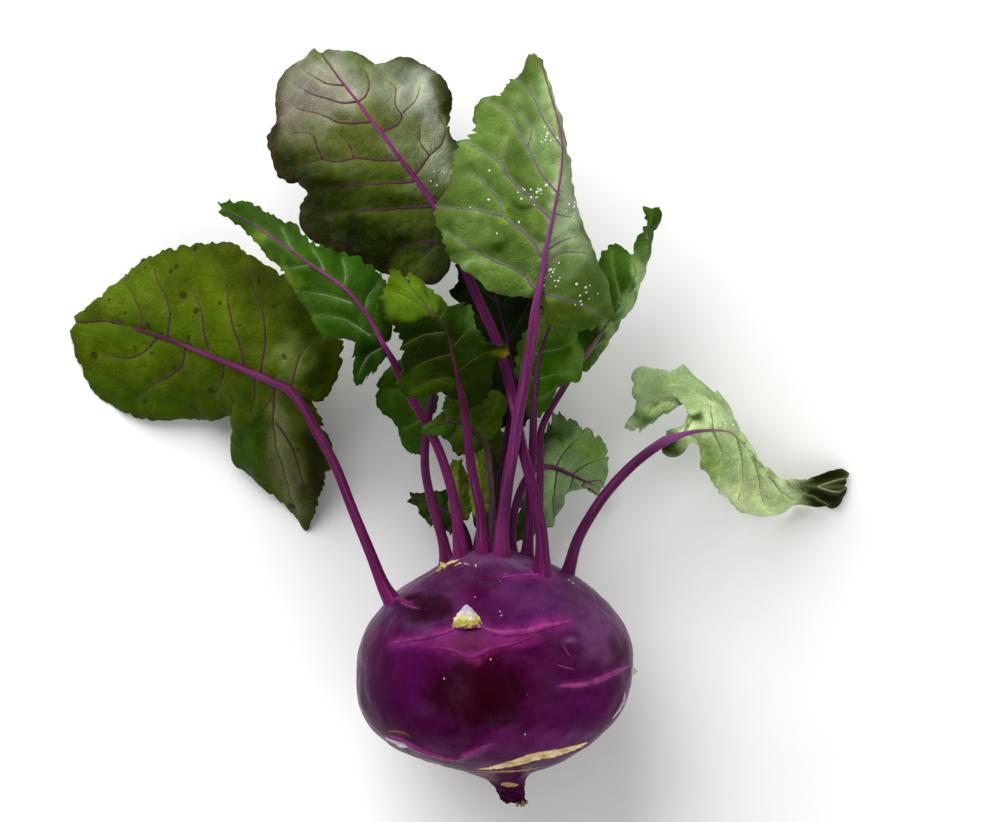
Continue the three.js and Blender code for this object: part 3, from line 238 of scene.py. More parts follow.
        rib=[(55, 72.2, 54.4), (62.6, 74.6, 53.6), (69.6, 75.4, 51.6), (75.4, 74.8, 48), (79.4, 72, 43.6),
            (82.8, 67.8, 38), (86, 63, 31), (91.2, 59.4, 23.6), (98.2, 57.6, 16), (106, 57, 9), (113.6, 57, 3)],
        left=[(55, 74.4, 50), (61, 76, 48), (62.4, 80.4, 46), (64.6, 82.6, 46), (61.4, 84.4, 43), (57, 82.4, 39),
            (52.4, 79, 35.6), (48, 75.6, 32), (44.8, 73.6, 30.4), (42.2, 76.4, 29), (45, 80.6, 30), (45.4, 84, 31),
            (44.4, 88.4, 30), (44.4, 95.2, 29), (52, 95, 31), (57.6, 94.8, 31), (60.6, 97, 30), (65, 92.8, 32),
            (70, 89.6, 32), (72.4, 85, 32), (74.6, 80.6, 32), (78.4, 75.6, 31), (81.4, 70.4, 28), (84.2, 65.2, 23.4),
            (87.6, 61, 18.6), (93, 58.8, 15), (98.4, 58.6, 11), (104.4, 60.4, 7), (110.8, 63.4, 3.6), (115, 61.4, 1)],
        left_fold=[(55.2, 73.8, 52), (60.6, 75.8, 50.6), (62.6, 77.8, 49.6), (65, 79.4, 49), (64.8, 81.4, 48),
            (63.6, 83.6, 46), (61.4, 84.6, 44), (59, 85.4, 42.4), (57.4, 86, 41), (56.6, 86.6, 40.4),
            (57, 87.4, 40.6), (58, 87.8, 41.4), (58.6, 88.4, 41.6), (59, 89.4, 41.4), (61, 88.6, 43),
            (63.4, 87.4, 43.6), (65.6, 87.2, 43.6), (68, 85, 44), (70.6, 82.6, 43.6), (73, 80.2, 42.4),
            (75, 77.8, 41), (78.6, 74.4, 38), (81.4, 70, 33.6), (84.2, 65.4, 28), (87.2, 61.6, 22),
            (92.4, 59.2, 17.4), (98.4, 58.2, 13.4), (105.2, 59, 8), (111.8, 59.4, 3.6), (114.2, 59, 2)],
        right=[(54.4, 70.4, 50), (53.8, 68.6, 48.4), (57, 67.2, 47), (60.4, 68.4, 47), (61.4, 71.6, 48), (64, 72, 46),
            (66, 69.4, 42), (66.2, 64, 34), (70.2, 58.8, 24), (75, 53.2, 14), (80, 49.4, 7), (85, 47.9, 3),
            (92, 48.6, 1), (98.4, 51.4, 1), (104, 50.4, 0), (109.4, 49.8, 0), (112.2, 53, 0), (114.4, 56.6, 0)],
    ),
    "young_front": dict(
        fan=1, radii=(1.5, 1.1, 0.9, 0.45), bulge=0.08, wave=0.6, waves=3.6,
        stalk=[(-1.4, 33, 48), (-1.2, 40, 51.4), (-1.4, 52, 53.6), (-2.4, 62, 54.6)],
        rib=[(-4, 71.4, 55.4), (-8.6, 76.4, 57), (-14, 78.4, 60), (-19, 77.6, 63), (-24, 75.4, 66)],
        left=[(-5.4, 69.8, 52.4), (-9, 68, 53), (-12.8, 66.6, 55), (-15, 70.4, 57.4), (-18.4, 73.4, 60.6),
            (-22, 74.4, 62.6), (-24.6, 75, 63.8)],
        right=[(-1.6, 73.6, 52.6), (2.4, 79, 51), (2.6, 86.6, 50), (-4, 88.6, 50), (-10, 88.6, 52), (-14, 86.4, 55),
            (-17.4, 85.6, 56), (-17.6, 81.4, 58.4), (-19.4, 78.6, 60.4), (-24.2, 76.4, 63.8)],
    ),
    "heart_front": dict(
        fan=1, radii=(1.6, 1.1, 0.9, 0.45), bulge=0.05, wave=0.7, waves=5.4,
        stalk=[(-6.2, 32, 44), (-6.2, 38.4, 48), (-5.6, 42.6, 49)],
        rib=[(-5.4, 47, 50), (-5.4, 54, 51), (-6, 62, 51.6), (-7, 71, 51.4)],
        left=[(-6.8, 47, 47.4), (-8.8, 52, 46), (-9.2, 59, 46), (-9.6, 66, 46), (-8.4, 72.6, 48)],
        right=[(-4, 47, 47.4), (-2.6, 52, 46), (-2.8, 59, 46), (-3.6, 66, 46), (-5.8, 72.8, 48)],
    ),
    "heart_back": dict(
        fan=1, radii=(1.7, 1.2, 1, 0.45), bulge=0.06, wave=0.7, waves=4.4,
        stalk=[(-3.4, 29, 34), (-3.6, 35.4, 36.4)],
        rib=[(-3.4, 40.6, 36.6), (-3, 50, 35.4), (-2, 60, 34), (-1.4, 69, 32), (-2, 77, 29)],
        left=[(-5.6, 40.6, 34), (-8, 48, 31), (-9, 57, 29), (-8.6, 66, 27.6), (-7, 73, 26.6), (-3.6, 78, 26.6)],
        right=[(-1.2, 40.6, 34), (2.6, 48, 31), (4.4, 57, 29), (5, 66, 27.6), (3.4, 73, 26.6), (-0.6, 78, 26.6)],
    ),
    "heart_side": dict(
        fan=1, radii=(1.6, 1.1, 0.9, 0.45), bulge=0.05, wave=0.5, waves=4.4,
        stalk=[(-10.6, 31, 41), (-11, 37, 44), (-11.4, 41.6, 45)],
        rib=[(-11.8, 46, 45.4), (-12.2, 53, 45), (-12.6, 59, 43.6), (-12.6, 65.6, 41.4)],
        left=[(-13.2, 46, 43), (-15.4, 51, 41), (-15.8, 57, 39.6), (-15, 61.4, 38.6), (-13.6, 65.6, 38.6)],
        right=[(-10, 46, 43), (-8, 51, 41), (-8.8, 58, 39.6), (-10.2, 63, 38.6), (-11.8, 66, 38.6)],
    ),
}

# ---------------------------------------------------------------- looks of the leaves


def colour(code):
    """A linear colour from a web colour code."""
    values = np.array([int(code[i : i + 2], 16) for i in (1, 3, 5)]) / 255
    return np.where(values <= 0.04045, values / 12.92, ((values + 0.055) / 1.055) ** 2.4)


# For each leaf:
#   slot      the swatch of material that it belongs to
#   tone      the blade's colour; edge is that of its rim
#   vein, stalk, rib   the colours of side veins, stalk and midrib
#   patches   other colours: plan centre, half widths, colour and, if it is firm-edged, how firm; some are painted light and shade, noted at each leaf
#   drawn     side veins drawn in plan, where the leaf shows them
#   pairs     how many pairs of side veins grow by rule where none are drawn
#   net, spots, bloom_and_sheen   how strong the finest veins, dark spots and the hazy wax with its painted sheen are
#   halo, rim           how light the skin beside the veins is, painted light on the creases there, and how far out the rim starts
#   teeth, pointed      how deep the edge's teeth are, and whether they are pointed
#   crinkle             how crumpled the blade is
#   slender, fall, reach   the midrib: its share of full thickness, how fast it thins, how far it goes
UNDERSIDE, FOOT, SPOT, WAX_SHEEN = "#6f8458", "#7e1c62", "#2a200a", "#8c968a"
PLAIN_LOOK = dict(
    patches=[], net=1, spots=0, bloom_and_sheen=0, halo=1, rim=0.955, teeth=1, pointed=False, crinkle=0, slender=1, fall=1.7,
    reach=RIB_REACH,
)
LOOKS = {
    "left": dict(
        slot="leaf_olive", tone="#394802", vein="#3c2230", stalk="#531440", rib="#5a1e4c", edge="#36420e", spots=0.9,
        net=0.6,
        # Painted light among the patches: the pale strip at (-73.6, 76) is a painted highlight along a fold, and the
        # darker green at (-80, 70) beside it is painted shade.
        patches=[((-122, 118), (22, 14), "#4e6210"), ((-104, 126), (18, 9), "#445609"),
            ((-116, 88), (7, 6), "#44590a"), ((-100, 105), (28, 7), "#3c5202"), ((-60, 106), (11, 20), "#283801"),
            ((-73, 122), (10, 8), "#303b07"), ((-70, 70), (5.4, 13), "#5a5f3c", 2), ((-64, 55), (6, 9), "#54573c", 2),
            ((-80, 70), (6, 10), "#2a4402", 2), ((-112, 86), (24, 6), "#304604"), ((-59, 95), (5, 8), "#1a2802"),
            ((-59, 64), (4.4, 15), "#1e2009", 1.8), ((-68, 97), (5, 7), "#55622c"),
            ((-73.6, 76), (1.6, 8), "#576034"), ((-92, 118), (9, 9), "#485806")],
        drawn=[
            [(-77, 93.5), (-75.5, 105), (-76, 113), (-80, 123), (-82, 132)],
            [(-82.5, 95.5), (-83, 100), (-87, 113), (-88.5, 127)], [(-94, 99.5), (-95, 106), (-97, 116), (-100, 122)],
            [(-107.5, 105), (-107, 115), (-110, 123), (-112, 128)], [(-116, 108), (-116, 113), (-119, 119)],
            [(-79, 92), (-79, 86), (-81, 80)], [(-89, 97), (-90, 91), (-93, 86)],
            [(-101.8, 102.2), (-102, 101), (-102.5, 97), (-107, 93), (-111, 91), (-118, 86)],
            [(-111, 105.5), (-115, 101), (-120, 99), (-129, 100)],
            [(-72.3, 90), (-72.5, 88), (-73, 80), (-72, 70), (-69, 60), (-66, 50)],
            [(-72, 78), (-67, 70), (-65, 64), (-62, 54)], [(-73.5, 86), (-76, 82), (-77, 78)],
            [(-67, 90), (-64, 100), (-59, 106)],
        ],
    ),
    "top_left": dict(
        slot="leaf_waxy", tone="#445321", vein="#3a2030", stalk="#4d133e", rib="#74246a", edge="#2c1e20", bloom_and_sheen=0.08,
        slender=0.62, halo=1.4, rim=0.8, teeth=0.6,
        # The pale grey patches at (-54, 186), (-66, 178), (-24, 184) and (-20, 166) are the waxy skin with a painted
        # sheen of light on it.
        patches=[((-54, 186), (18, 12), "#83866a"), ((-66, 178), (9, 13), "#686258"),
            ((-46, 170), (16, 10), "#4a5223"), ((-24, 184), (9, 11), "#9ba287"), ((-47, 139), (20, 8), "#0c1600"),
            ((-28, 131), (12, 7), "#172302"), ((-40, 151), (22, 6), "#2a3705"), ((-66, 161), (9, 6), "#1a2402"),
            ((-56, 150), (10, 9), "#1c2502"), ((-20, 166), (9, 10), "#79815f"), ((-61, 155), (6, 3), "#161e00", 2),
            ((-14, 182), (5, 12), "#313e09"), ((-24, 128), (6, 5), "#3a4c0c"), ((-38, 160), (9, 4), "#3c4b0c"),
            ((-72.6, 172), (2.4, 7), "#2c261c", 2), ((-14.6, 180), (2.6, 9), "#25300a", 2)],
        drawn=[
            [(-21, 148), (-37, 147), (-46, 146.5), (-54, 145.5)], [(-27, 156), (-44, 155), (-56, 154)],
            [(-32, 163), (-38, 163), (-46, 163.7), (-52, 162.5), (-57, 163.3), (-66, 160.5)],
            [(-46.5, 163.7), (-48.5, 169), (-52, 172)], [(-57, 163.5), (-58.5, 168), (-60, 171.5), (-67, 172)],
            [(-41, 175.5), (-47, 175), (-52, 175.5), (-56, 177.5), (-65.5, 180)],
            [(-45.5, 182), (-50, 181.5), (-55, 183), (-60, 184.5), (-66, 188)],
            [(-50, 187.5), (-55, 188), (-63, 192.5)], [(-45, 182), (-42.5, 184), (-41.5, 188), (-43, 192)],
            [(-37.9, 171.9), (-36.5, 172.5), (-32.5, 174.5), (-30.8, 177.5), (-33, 181), (-33, 187), (-36, 189)],
            [(-30.5, 178.5), (-26, 183), (-25, 186.5)],
            [(-27.5, 158), (-26, 159), (-22, 164.5), (-17.5, 169), (-17, 174), (-20, 179)],
            [(-22, 164.5), (-25, 169), (-25, 174.5)], [(-19.6, 149), (-14.8, 156)],
            [(-16, 135.5), (-25, 136.5), (-31, 134.5), (-35, 130)], [(-20.5, 135.5), (-27, 129)],
        ],
    ),
    "top_middle": dict(
        slot="leaf_waxy", tone="#546c2b", vein="#6c5f70", halo=1.7, stalk="#632253", rib="#7c3874", edge="#33510f",
        fall=3.4, slender=0.66, pointed=True, net=0.6,
        # The dark patches at (0.6, 135) and (7.8, 149) are painted shadow in a fold and a crease, and the pale ones at
        # (23, 146) and (18, 178) are painted sheen on the bent-back right side and the upper part.
        patches=[((2, 150), (16, 20), "#506729"), ((18, 178), (7, 14), "#7c955a"), ((24, 114), (13, 5), "#48610f"),
            ((-3, 124), (12, 6), "#5e7d2b"), ((23, 146), (5, 14), "#93a67a"), ((-16, 142), (5, 10), "#455a20"),
            ((0.6, 135), (2.6, 1.5), "#2c420f", 2), ((8, 192), (6, 6), "#455c22"), ((30, 126), (5, 8), "#495c24"),
            ((7.8, 149), (4.4, 0.9), "#31480f", 2), ((7, 145), (5, 2.2), "#5f7c26"), ((-8, 128), (7, 1.6), "#7c9658"),
            ((30, 112), (6, 3), "#3c5212")],
        drawn=[
            [(16.2, 129.8), (14, 132), (12, 136), (8, 140), (1.5, 144.5), (-6, 146.5), (-20, 148)],
            [(1.5, 144.5), (1, 149), (-5, 156), (-9, 158.5)],
            [(18, 143), (10, 151), (3, 158), (0, 162.5), (-5, 165.5), (-12, 170)],
            [(20, 151.5), (14, 159), (10, 167), (7, 171), (3, 178), (-4, 183)],
            [(22, 165), (15, 176), (10.5, 185), (6, 189)],
            [(12.5, 121), (7, 127), (-3, 131), (-11, 136), (-16, 139.5)], [(20, 153), (24.5, 151)],
            [(18.2, 145.4), (20, 145), (25.5, 144)], [(17, 134), (22, 137), (28.5, 138.5)],
            [(15.6, 128), (17, 130), (20, 132.5), (26, 133), (31.5, 132)],
            [(14, 120), (25, 117), (31, 114), (38, 110.5)], [(3, 158), (2, 164), (3, 170)],
            [(10, 167), (11, 173), (8, 178)],
        ],
    ),
    "mid_left": dict(
        slot="leaf_deep", tone="#284809", vein="#64804c", stalk="#5c184a", rib="#7a266c", edge="#4c6a2c",
        slender=0.62, fall=2.6, pointed=True,
        patches=[((-74, 140), (14, 7), "#2e471a"), ((-79, 136), (4, 3), "#5b7212"),
            ((-69.6, 128.4), (4, 3), "#586e10"), ((-45, 96), (6, 8), "#173204"), ((-41, 101), (4, 4), "#0e2602"),
            ((-40, 124), (8, 6), "#22410e"), ((-62, 117), (7, 6), "#345615")],
        drawn=[
            [(-47, 116.5), (-55, 119), (-62, 120), (-67, 121)], [(-41, 106), (-47, 110), (-55, 112.5), (-60, 112.5)],
            [(-50, 121.5), (-49, 125), (-50, 131)], [(-42.5, 114), (-41.5, 119), (-38.5, 122.5)],
            [(-56, 126.5), (-57, 130), (-60, 134)], [(-60, 129), (-66, 128), (-70, 128)],
            [(-66, 133), (-68, 137), (-70, 141)], [(-37, 102), (-42, 99), (-45, 93)],
        ],
    ),
    "middle": dict(
        slot="leaf_olive", tone="#182800", vein="#44521e", stalk="#541643", rib="#521c34", edge="#5c7024",
        pointed=True, net=0.4, reach=0.62,
        # The lighter patches at (-27, 119.4) and (-33, 119.6) paint the flap above the fold lighter as painted light,
        # and the dark one at (-24, 103) is painted shade on the blade below the fold.
        patches=[((-27, 119.4), (12.6, 7.4), "#3e5606", 9), ((-33, 119.6), (7, 5), "#4a6209"),
            ((-8, 110), (6, 6), "#40642a"), ((5, 101), (3, 2.5), "#8d860d"), ((-24, 103), (8, 7), "#101e00"),
            ((-22, 90), (10, 4), "#2c4202")],
        drawn=[
            [(-20, 112), (-26, 117), (-32, 120), (-36, 121)], [(-20.5, 113), (-26, 119.5), (-30, 124)],
            [(-20, 112.5), (-22, 118), (-23, 121.5)], [(-18.6, 111.4), (-17, 114), (-16, 116)],
            [(-17, 107), (-24, 106), (-30, 103)], [(-14.6, 100), (-22, 98), (-28, 95)],
            [(-12.6, 92), (-19, 92), (-27, 88.5)], [(-13, 94), (-8, 98), (-2, 101)],
            [(-15, 102), (-10, 107), (-7, 110)],
        ],
    ),
    "back_middle": dict(
        slot="leaf_deep", tone="#0d1806", vein="#1f2a10", stalk="#350b2b", rib="#34102c", pairs=5,
    ),
    "right_cupped": dict(
        slot="leaf_deep", tone="#385910", vein="#70874c", stalk="#541b46", rib="#70545c", pairs=5, edge="#2c4a10",
        pointed=True, teeth=0.55, reach=0.42,
        # The pale strips at (36.6, 105), (42, 114.4) and (46.6, 124) follow the fold and are a painted highlight along
        # its crest.
        patches=[((36.6, 105), (2.6, 6), "#6a8844", 2), ((42, 114.4), (2.6, 6), "#86a45e", 2),
            ((46.6, 124), (2.4, 7), "#8caa64", 2), ((34, 124), (7, 8), "#2a480d"), ((28, 108), (6, 8), "#253f0c"),
            ((50, 142), (4, 6), "#28490d")],
    ),
    "low_right": dict(
        slot="leaf_waxy", tone="#76925a", vein="#4c4a48", stalk="#4d1440", rib="#5c2450", pairs=4, edge="#2a4a10",
        pointed=True,
        patches=[((17, 76), (7, 7), "#1c340a"), ((9, 46), (5, 9), "#223e0b"), ((30, 70), (8, 8), "#648238")],
    ),
    "low_left": dict(
        slot="leaf_deep", tone="#182a06", vein="#344a1c", stalk="#440f34", rib="#331f2c", pairs=3, pointed=True,
    ),
    "back_left": dict(
        slot="leaf_deep", tone="#253f04", vein="#4a642a", stalk="#4d143e", rib="#441a38", pairs=4, pointed=True,
    ),
    "right_folded": dict(
        slot="leaf_deep", tone="#274904", vein="#55703a", stalk="#4d143e", rib="#4c2044", pairs=4, pointed=True,
        patches=[((20, 110), (6, 5), "#4c691b"), ((25, 98), (3, 9), "#4f6f20")],
    ),
    "drooping": dict(
        slot="leaf_pale", tone="#b3cd87", vein="#94a070", stalk="#541b46", rib="#763a70", pairs=7, fall=4, reach=0.42,
        teeth=0.45,
        # The dark patch at (62, 80) is painted shade in a small hollow of the blade.
        patches=[((107.6, 57), (9.6, 12), "#101900", 3), ((62, 80), (3.4, 4), "#1f2e06"),
            ((56, 71.6), (4.6, 4.4), "#20360a", 2), ((49, 80), (7, 5), "#4b6828"), ((70, 64), (6, 8), "#82a348"),
            ((56, 91), (12, 5), "#a0bb76"), ((80, 53), (12, 5), "#d0e499"), ((74, 84), (5, 8), "#92aa6c")],
    ),
    "young_front": dict(
        slot="leaf_young", tone="#30430c", vein="#4c5c24", stalk="#4b3640", rib="#46362c", pairs=3,
        patches=[((-19, 75), (7, 3), "#2e5612")],
    ),
    "heart_front": dict(
        slot="leaf_young", tone="#5e7614", vein="#7c8c34", stalk="#4b2232", rib="#66722a", pairs=5, crinkle=0.5,
    ),
    "heart_back": dict(
        slot="leaf_deep", tone="#223408", vein="#3a4a18", stalk="#3f1130", rib="#3a321e", pairs=4, crinkle=0.4,
    ),
    "heart_side": dict(
        slot="leaf_young", tone="#54661a", vein="#6a7830", stalk="#3f1830", rib="#545e2a", pairs=4, crinkle=0.45,
    ),
}
LOOKS = {name: {**PLAIN_LOOK, "edge": look["tone"], **look} for name, look in LOOKS.items()}

# ---------------------------------------------------------------- small helpers


def placed(points):
    """Points of the plan in the frame's metres."""
    return (np.asarray(points, float) - (0, REST_SPOT_Y, 0)) * MM


def unit(vectors):
    """Vectors made one long."""
    lengths = np.linalg.norm(vectors, axis=-1, keepdims=True)
    return vectors / np.maximum(lengths, 1e-9)


def circle(sides):
    """Angles once around, evenly spaced."""
    return np.arange(sides) / sides * 2 * math.pi


def bell(distance, width):
    """1 at no distance, falling softly to nothing over about twice the width."""
    return np.exp(-((distance / width) ** 2))


def tapered(t, low=0, high=1):
    """1 halfway along a line, falling to nothing at its ends."""
    return np.sqrt(np.clip(np.sin(math.pi * np.clip(t, low, high)), 0, 1))


def blend(a, b, weight):
    """a, turned to b by a weight from 0 to 1 at each point."""
    return a + (b - a) * np.asarray(weight)[..., None]


def smooth_step(values, low, high):
    """0 below low, 1 above high, and a soft step between."""
    t = np.clip((values - low) / (high - low), 0, 1)
    return t * t * (3 - 2 * t)


def field(points, wavelength, seed, waves=16):
    """A smooth random field, mostly from -1 to 1, that changes over about one wavelength."""
    rng = np.random.default_rng(seed)
    ways = unit(rng.normal(size=(waves, 3)))
    lengths = wavelength * rng.uniform(0.7, 1.5, waves)
    phases = rng.uniform(0, 2 * math.pi, waves)
    total = np.zeros(points.shape[:-1])
    for way, length, phase in zip(ways, lengths, phases):
        total += np.sin(points @ way * (2 * math.pi / length) + phase)
    return total / math.sqrt(waves)


def mottled(tint, points, strength, wavelength, seed):
    """A tint that grows darker and lighter in soft patches."""
    return tint * (1 + strength * field(points, wavelength, seed))[..., None]


def fields(points, wavelength, seeds):
    """Several random fields, side by side."""
    return np.stack([field(points, wavelength, seed) for seed in seeds], axis=-1)


def facing(ways, others):
    """Ways, turned round where they point against the others."""
    return ways * np.sign((ways * others).sum(-1, keepdims=True) + 1e-9)


def step_lengths(points):
    return np.linalg.norm(np.diff(points, axis=0), axis=1)


def run_along(points):
    """How far along a line of points each one is."""
    return np.concatenate([[0], np.cumsum(step_lengths(points))])


class Line:
    """A smooth line through a few points, the same as the solids follow."""

    def __init__(self, points, samples=24):
        p = np.asarray(points, float)
        q = np.vstack([2 * p[:1] - p[1:2], p, 2 * p[-1:] - p[-2:-1]])
        w = np.linspace(0, 1, samples, endpoint=False)[:, None]
        pieces = []
        for p0, p1, p2, p3 in zip(q, q[1:], q[2:], q[3:]):
            d0, d1, d2 = (np.linalg.norm(b - a) ** 0.5 for a, b in ((p0, p1), (p1, p2), (p2, p3)))
            t1 = ((p1 - p0) / d0 - (p2 - p0) / (d0 + d1) + (p2 - p1) / d1) * d1
            t2 = ((p2 - p1) / d1 - (p3 - p1) / (d1 + d2) + (p3 - p2) / d2) * d1
            pieces.append(
                p1 + t1 * w + (3 * (p2 - p1) - 2 * t1 - t2) * w**2 + (2 * (p1 - p2) + t1 + t2) * w**3
            )
        self.points = np.vstack(pieces + [p[-1:]])
        self.length = step_lengths(self.points).sum()
        self.run = run_along(self.points) / self.length

    def at(self, t):
        return np.stack([np.interp(t, self.run, c) for c in self.points.T], axis=-1)

    def tangent(self, t):
        t = np.asarray(t, float)
        return unit(self.at(np.minimum(t + 0.01, 1)) - self.at(np.maximum(t - 0.01, 0)))


def grid_faces(rows, columns, closed=False):
    """Quads of a grid of points, row after row. A closed grid joins its last column to its first."""
    r, c = np.meshgrid(np.arange(rows - 1), np.arange(columns if closed else columns - 1), indexing="ij")
    a = r * columns + c
    b = r * columns + (c + 1) % columns
    return np.stack([a, b, b + columns, a + columns], axis=-1).reshape(-1, 4)


def tube_faces(rings, sides):
    """Faces of a tube of points, ring after ring, with both ends closed."""
    ends = [list(range(sides))[::-1], list(range((rings - 1) * sides, rings * sides))]
    return grid_faces(rings, sides, closed=True).tolist() + ends


def sheet_faces(rows, columns):
    """Faces of a thin sheet: the front, the back, whose points come after, and the strip between."""
    front, count = grid_faces(rows, columns), rows * columns
    numbers = np.arange(count).reshape(rows, columns)
    border = np.concatenate([numbers[0], numbers[1:, -1], numbers[-1, -2::-1], numbers[-2:0:-1, 0]])
    after = np.roll(border, -1)
    strip = np.stack([border, border + count, after + count, after], axis=-1)
    return np.vstack([front, front[:, ::-1] + count, strip]).tolist()


def joined(parts):
    """Several meshes as one. Each part has its points, its faces and, if need be, its tints."""
    points, faces, *tints = zip(*parts)
    starts = np.cumsum([0] + [len(own) for own in points]).tolist()
    faces = [[i + start for i in face] for start, own in zip(starts, faces) for face in own]
    return [np.vstack(points), faces] + [np.vstack(own) for own in tints]


def around_ring(sides, side, front):
    """Ways around a ring that is spanned by a way to its side and one to its front."""
    angles = circle(sides)[:, None]
    return np.cos(angles) * side + np.sin(angles) * front


def seen_from_above(tree, x, y):
    """Where a plan place meets a surface from above, and the way up there; None where it doesn't."""
    hit, normal, _, _ = tree.ray_cast((x, y, ABOVE_LEAVES), (0, 0, -1))
    return None if hit is None else (np.array(hit), np.array(normal if normal.z > 0 else -normal))


def make_piece(name, points, faces, material, slot, tint=None, extra=None):
    """A mesh object in the frame's metres. tint is a colour at each point, extra more values by name."""
    mesh = bpy.data.meshes.new(name)
    mesh.from_pydata(placed(points).tolist(), [], [list(map(int, f)) for f in faces])
    mesh.validate()
    count = len(mesh.vertices)
    if tint is not None:
        data = np.ones((count, 4), np.float32)
        data[:, :3] = np.clip(tint, 0, 1)
        mesh.color_attributes.new("tint", "FLOAT_COLOR", "POINT").data.foreach_set("color", data.ravel())
    for key, values in (extra or {}).items():
        values = np.asarray(values, np.float32)
        kind, field_name = ("FLOAT", "value") if values.ndim == 1 else ("FLOAT_VECTOR", "vector")
        mesh.attributes.new(key, kind, "POINT").data.foreach_set(field_name, values.ravel())
    mesh.shade_smooth()
    piece = bpy.data.objects.new(name, mesh)
    bpy.context.scene.collection.objects.link(piece)
    mesh.materials.append(material)
    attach(piece, "root")
    return piece


def tube_parts(centres, radii, sides, normals=None):
    """Points and faces of a round tube with closed ends, through the given middle points."""
    ways = unit(np.gradient(centres, axis=0))
    if normals is None:
        side = np.array([0.0, 0.0, 1.0])
        normals = []
        for way in ways:
            side = side - way * (side @ way)
            side = side / max(np.linalg.norm(side), 1e-6)
            normals.append(side)
        normals = np.array(normals)
    normals = unit(normals - ways * (normals * ways).sum(1, keepdims=True))
    ring = around_ring(sides, normals[:, None], np.cross(ways, normals)[:, None])
    radii = np.asarray(radii, float)
    if radii.ndim == 1:
        radii = radii[:, None] * np.ones(sides)
    points = centres[:, None] + ring * radii[..., None]
    return points.reshape(-1, 3), tube_faces(len(centres), sides)


# ---------------------------------------------------------------- materials


def new_material(name):
    material = bpy.data.materials.new(name)
    material.use_nodes = True
    tree = material.node_tree
    tree.nodes.clear()
    return material, tree


def node(tree, kind, inputs=None, **settings):
    """A shader node. Inputs are values, or sockets of other nodes to link."""
    made = tree.nodes.new(kind)
    for key, value in settings.items():
        setattr(made, key, value)
    for key, value in (inputs or {}).items():
        socket = made.inputs[key]
        if isinstance(value, bpy.types.NodeSocket):
            tree.links.new(value, socket)
        else:
            socket.default_value = value
    return made


def millimetres(tree):
    """The place on the surface in millimetres."""
    place = node(tree, "ShaderNodeTexCoord").outputs["Object"]
    return node(tree, "ShaderNodeVectorMath", {0: place, "Scale": 1000}, operation="SCALE").outputs[0]


def noise(tree, vector, size, detail=3, roughness=0.55):
    """Cloudy noise whose lumps are about size millimetres across."""
    made = node(tree, "ShaderNodeTexNoise", {
        "Vector": vector, "Scale": 1 / size, "Detail": detail, "Roughness": roughness,
    })
    return made.outputs["Fac"]


def cells(tree, vector, size, feature="DISTANCE_TO_EDGE"):
    """Distance to the edges of cells about size millimetres across, or with F1 to their middles."""
    made = node(tree, "ShaderNodeTexVoronoi", {"Vector": vector, "Scale": 1 / size}, feature=feature)
    return made.outputs["Distance"]


def spread(tree, value, low, high, to_low=0.0, to_high=1.0):
    """Maps low..high to to_low..to_high, with soft ends."""
    made = node(tree, "ShaderNodeMapRange", {
        "Value": value, "From Min": low, "From Max": high, "To Min": to_low, "To Max": to_high,
    }, interpolation_type="SMOOTHSTEP")
    return made.outputs["Result"]


def worked(tree, operation, values):
    """Values put together from left to right."""
    result, *others = values
    for value in others:
        result = node(tree, "ShaderNodeMath", {0: result, 1: value}, operation=operation).outputs[0]
    return result


def plus(tree, *values):
    return worked(tree, "ADD", values)


def minus(tree, *values):
    return worked(tree, "SUBTRACT", values)


def times(tree, *values):
    return worked(tree, "MULTIPLY", values)


def mixed(tree, weight, a, b):
    """Colour a, turned to colour b by the weight."""
    made = node(tree, "ShaderNodeMix", data_type="RGBA")
    for key, value in (("Factor", weight), ("A", a), ("B", b)):
        socket = [s for s in made.inputs if s.name == key and s.enabled][0]
        if isinstance(value, bpy.types.NodeSocket):
            tree.links.new(value, socket)
        elif key == "Factor":
            socket.default_value = value
        else:
            socket.default_value = (*value, 1)
    return [s for s in made.outputs if s.enabled][0]


def scaled(tree, tone, factor):
    return node(tree, "ShaderNodeVectorMath", {0: tone, "Scale": factor}, operation="SCALE").outputs[0]


def dappled(tree, tone, value, low, high, dark, light):
    """A tone times dark where the value is low, and times light where it is high."""
    return scaled(tree, tone, spread(tree, value, low, high, dark, light))


def attribute(tree, name, output="Color"):
    return node(tree, "ShaderNodeAttribute", attribute_name=name).outputs[output]


def finish_material(tree, base, roughness, height=None, bump_mm=0.2, strength=0.6, specular=0.5, **uniform):
    """Joins up the surface. height is a value whose full range stands bump_mm out."""
    inputs = {"Base Color": base, "Roughness": roughness, "Specular IOR Level": specular, **uniform}
    shader = node(tree, "ShaderNodeBsdfPrincipled", inputs)
    if height is not None:
        bump = node(tree, "ShaderNodeBump", {"Height": height, "Distance": bump_mm * MM, "Strength": strength})
        tree.links.new(bump.outputs[0], shader.inputs["Normal"])
    end = node(tree, "ShaderNodeOutputMaterial")
    tree.links.new(shader.outputs[0], end.inputs["Surface"])


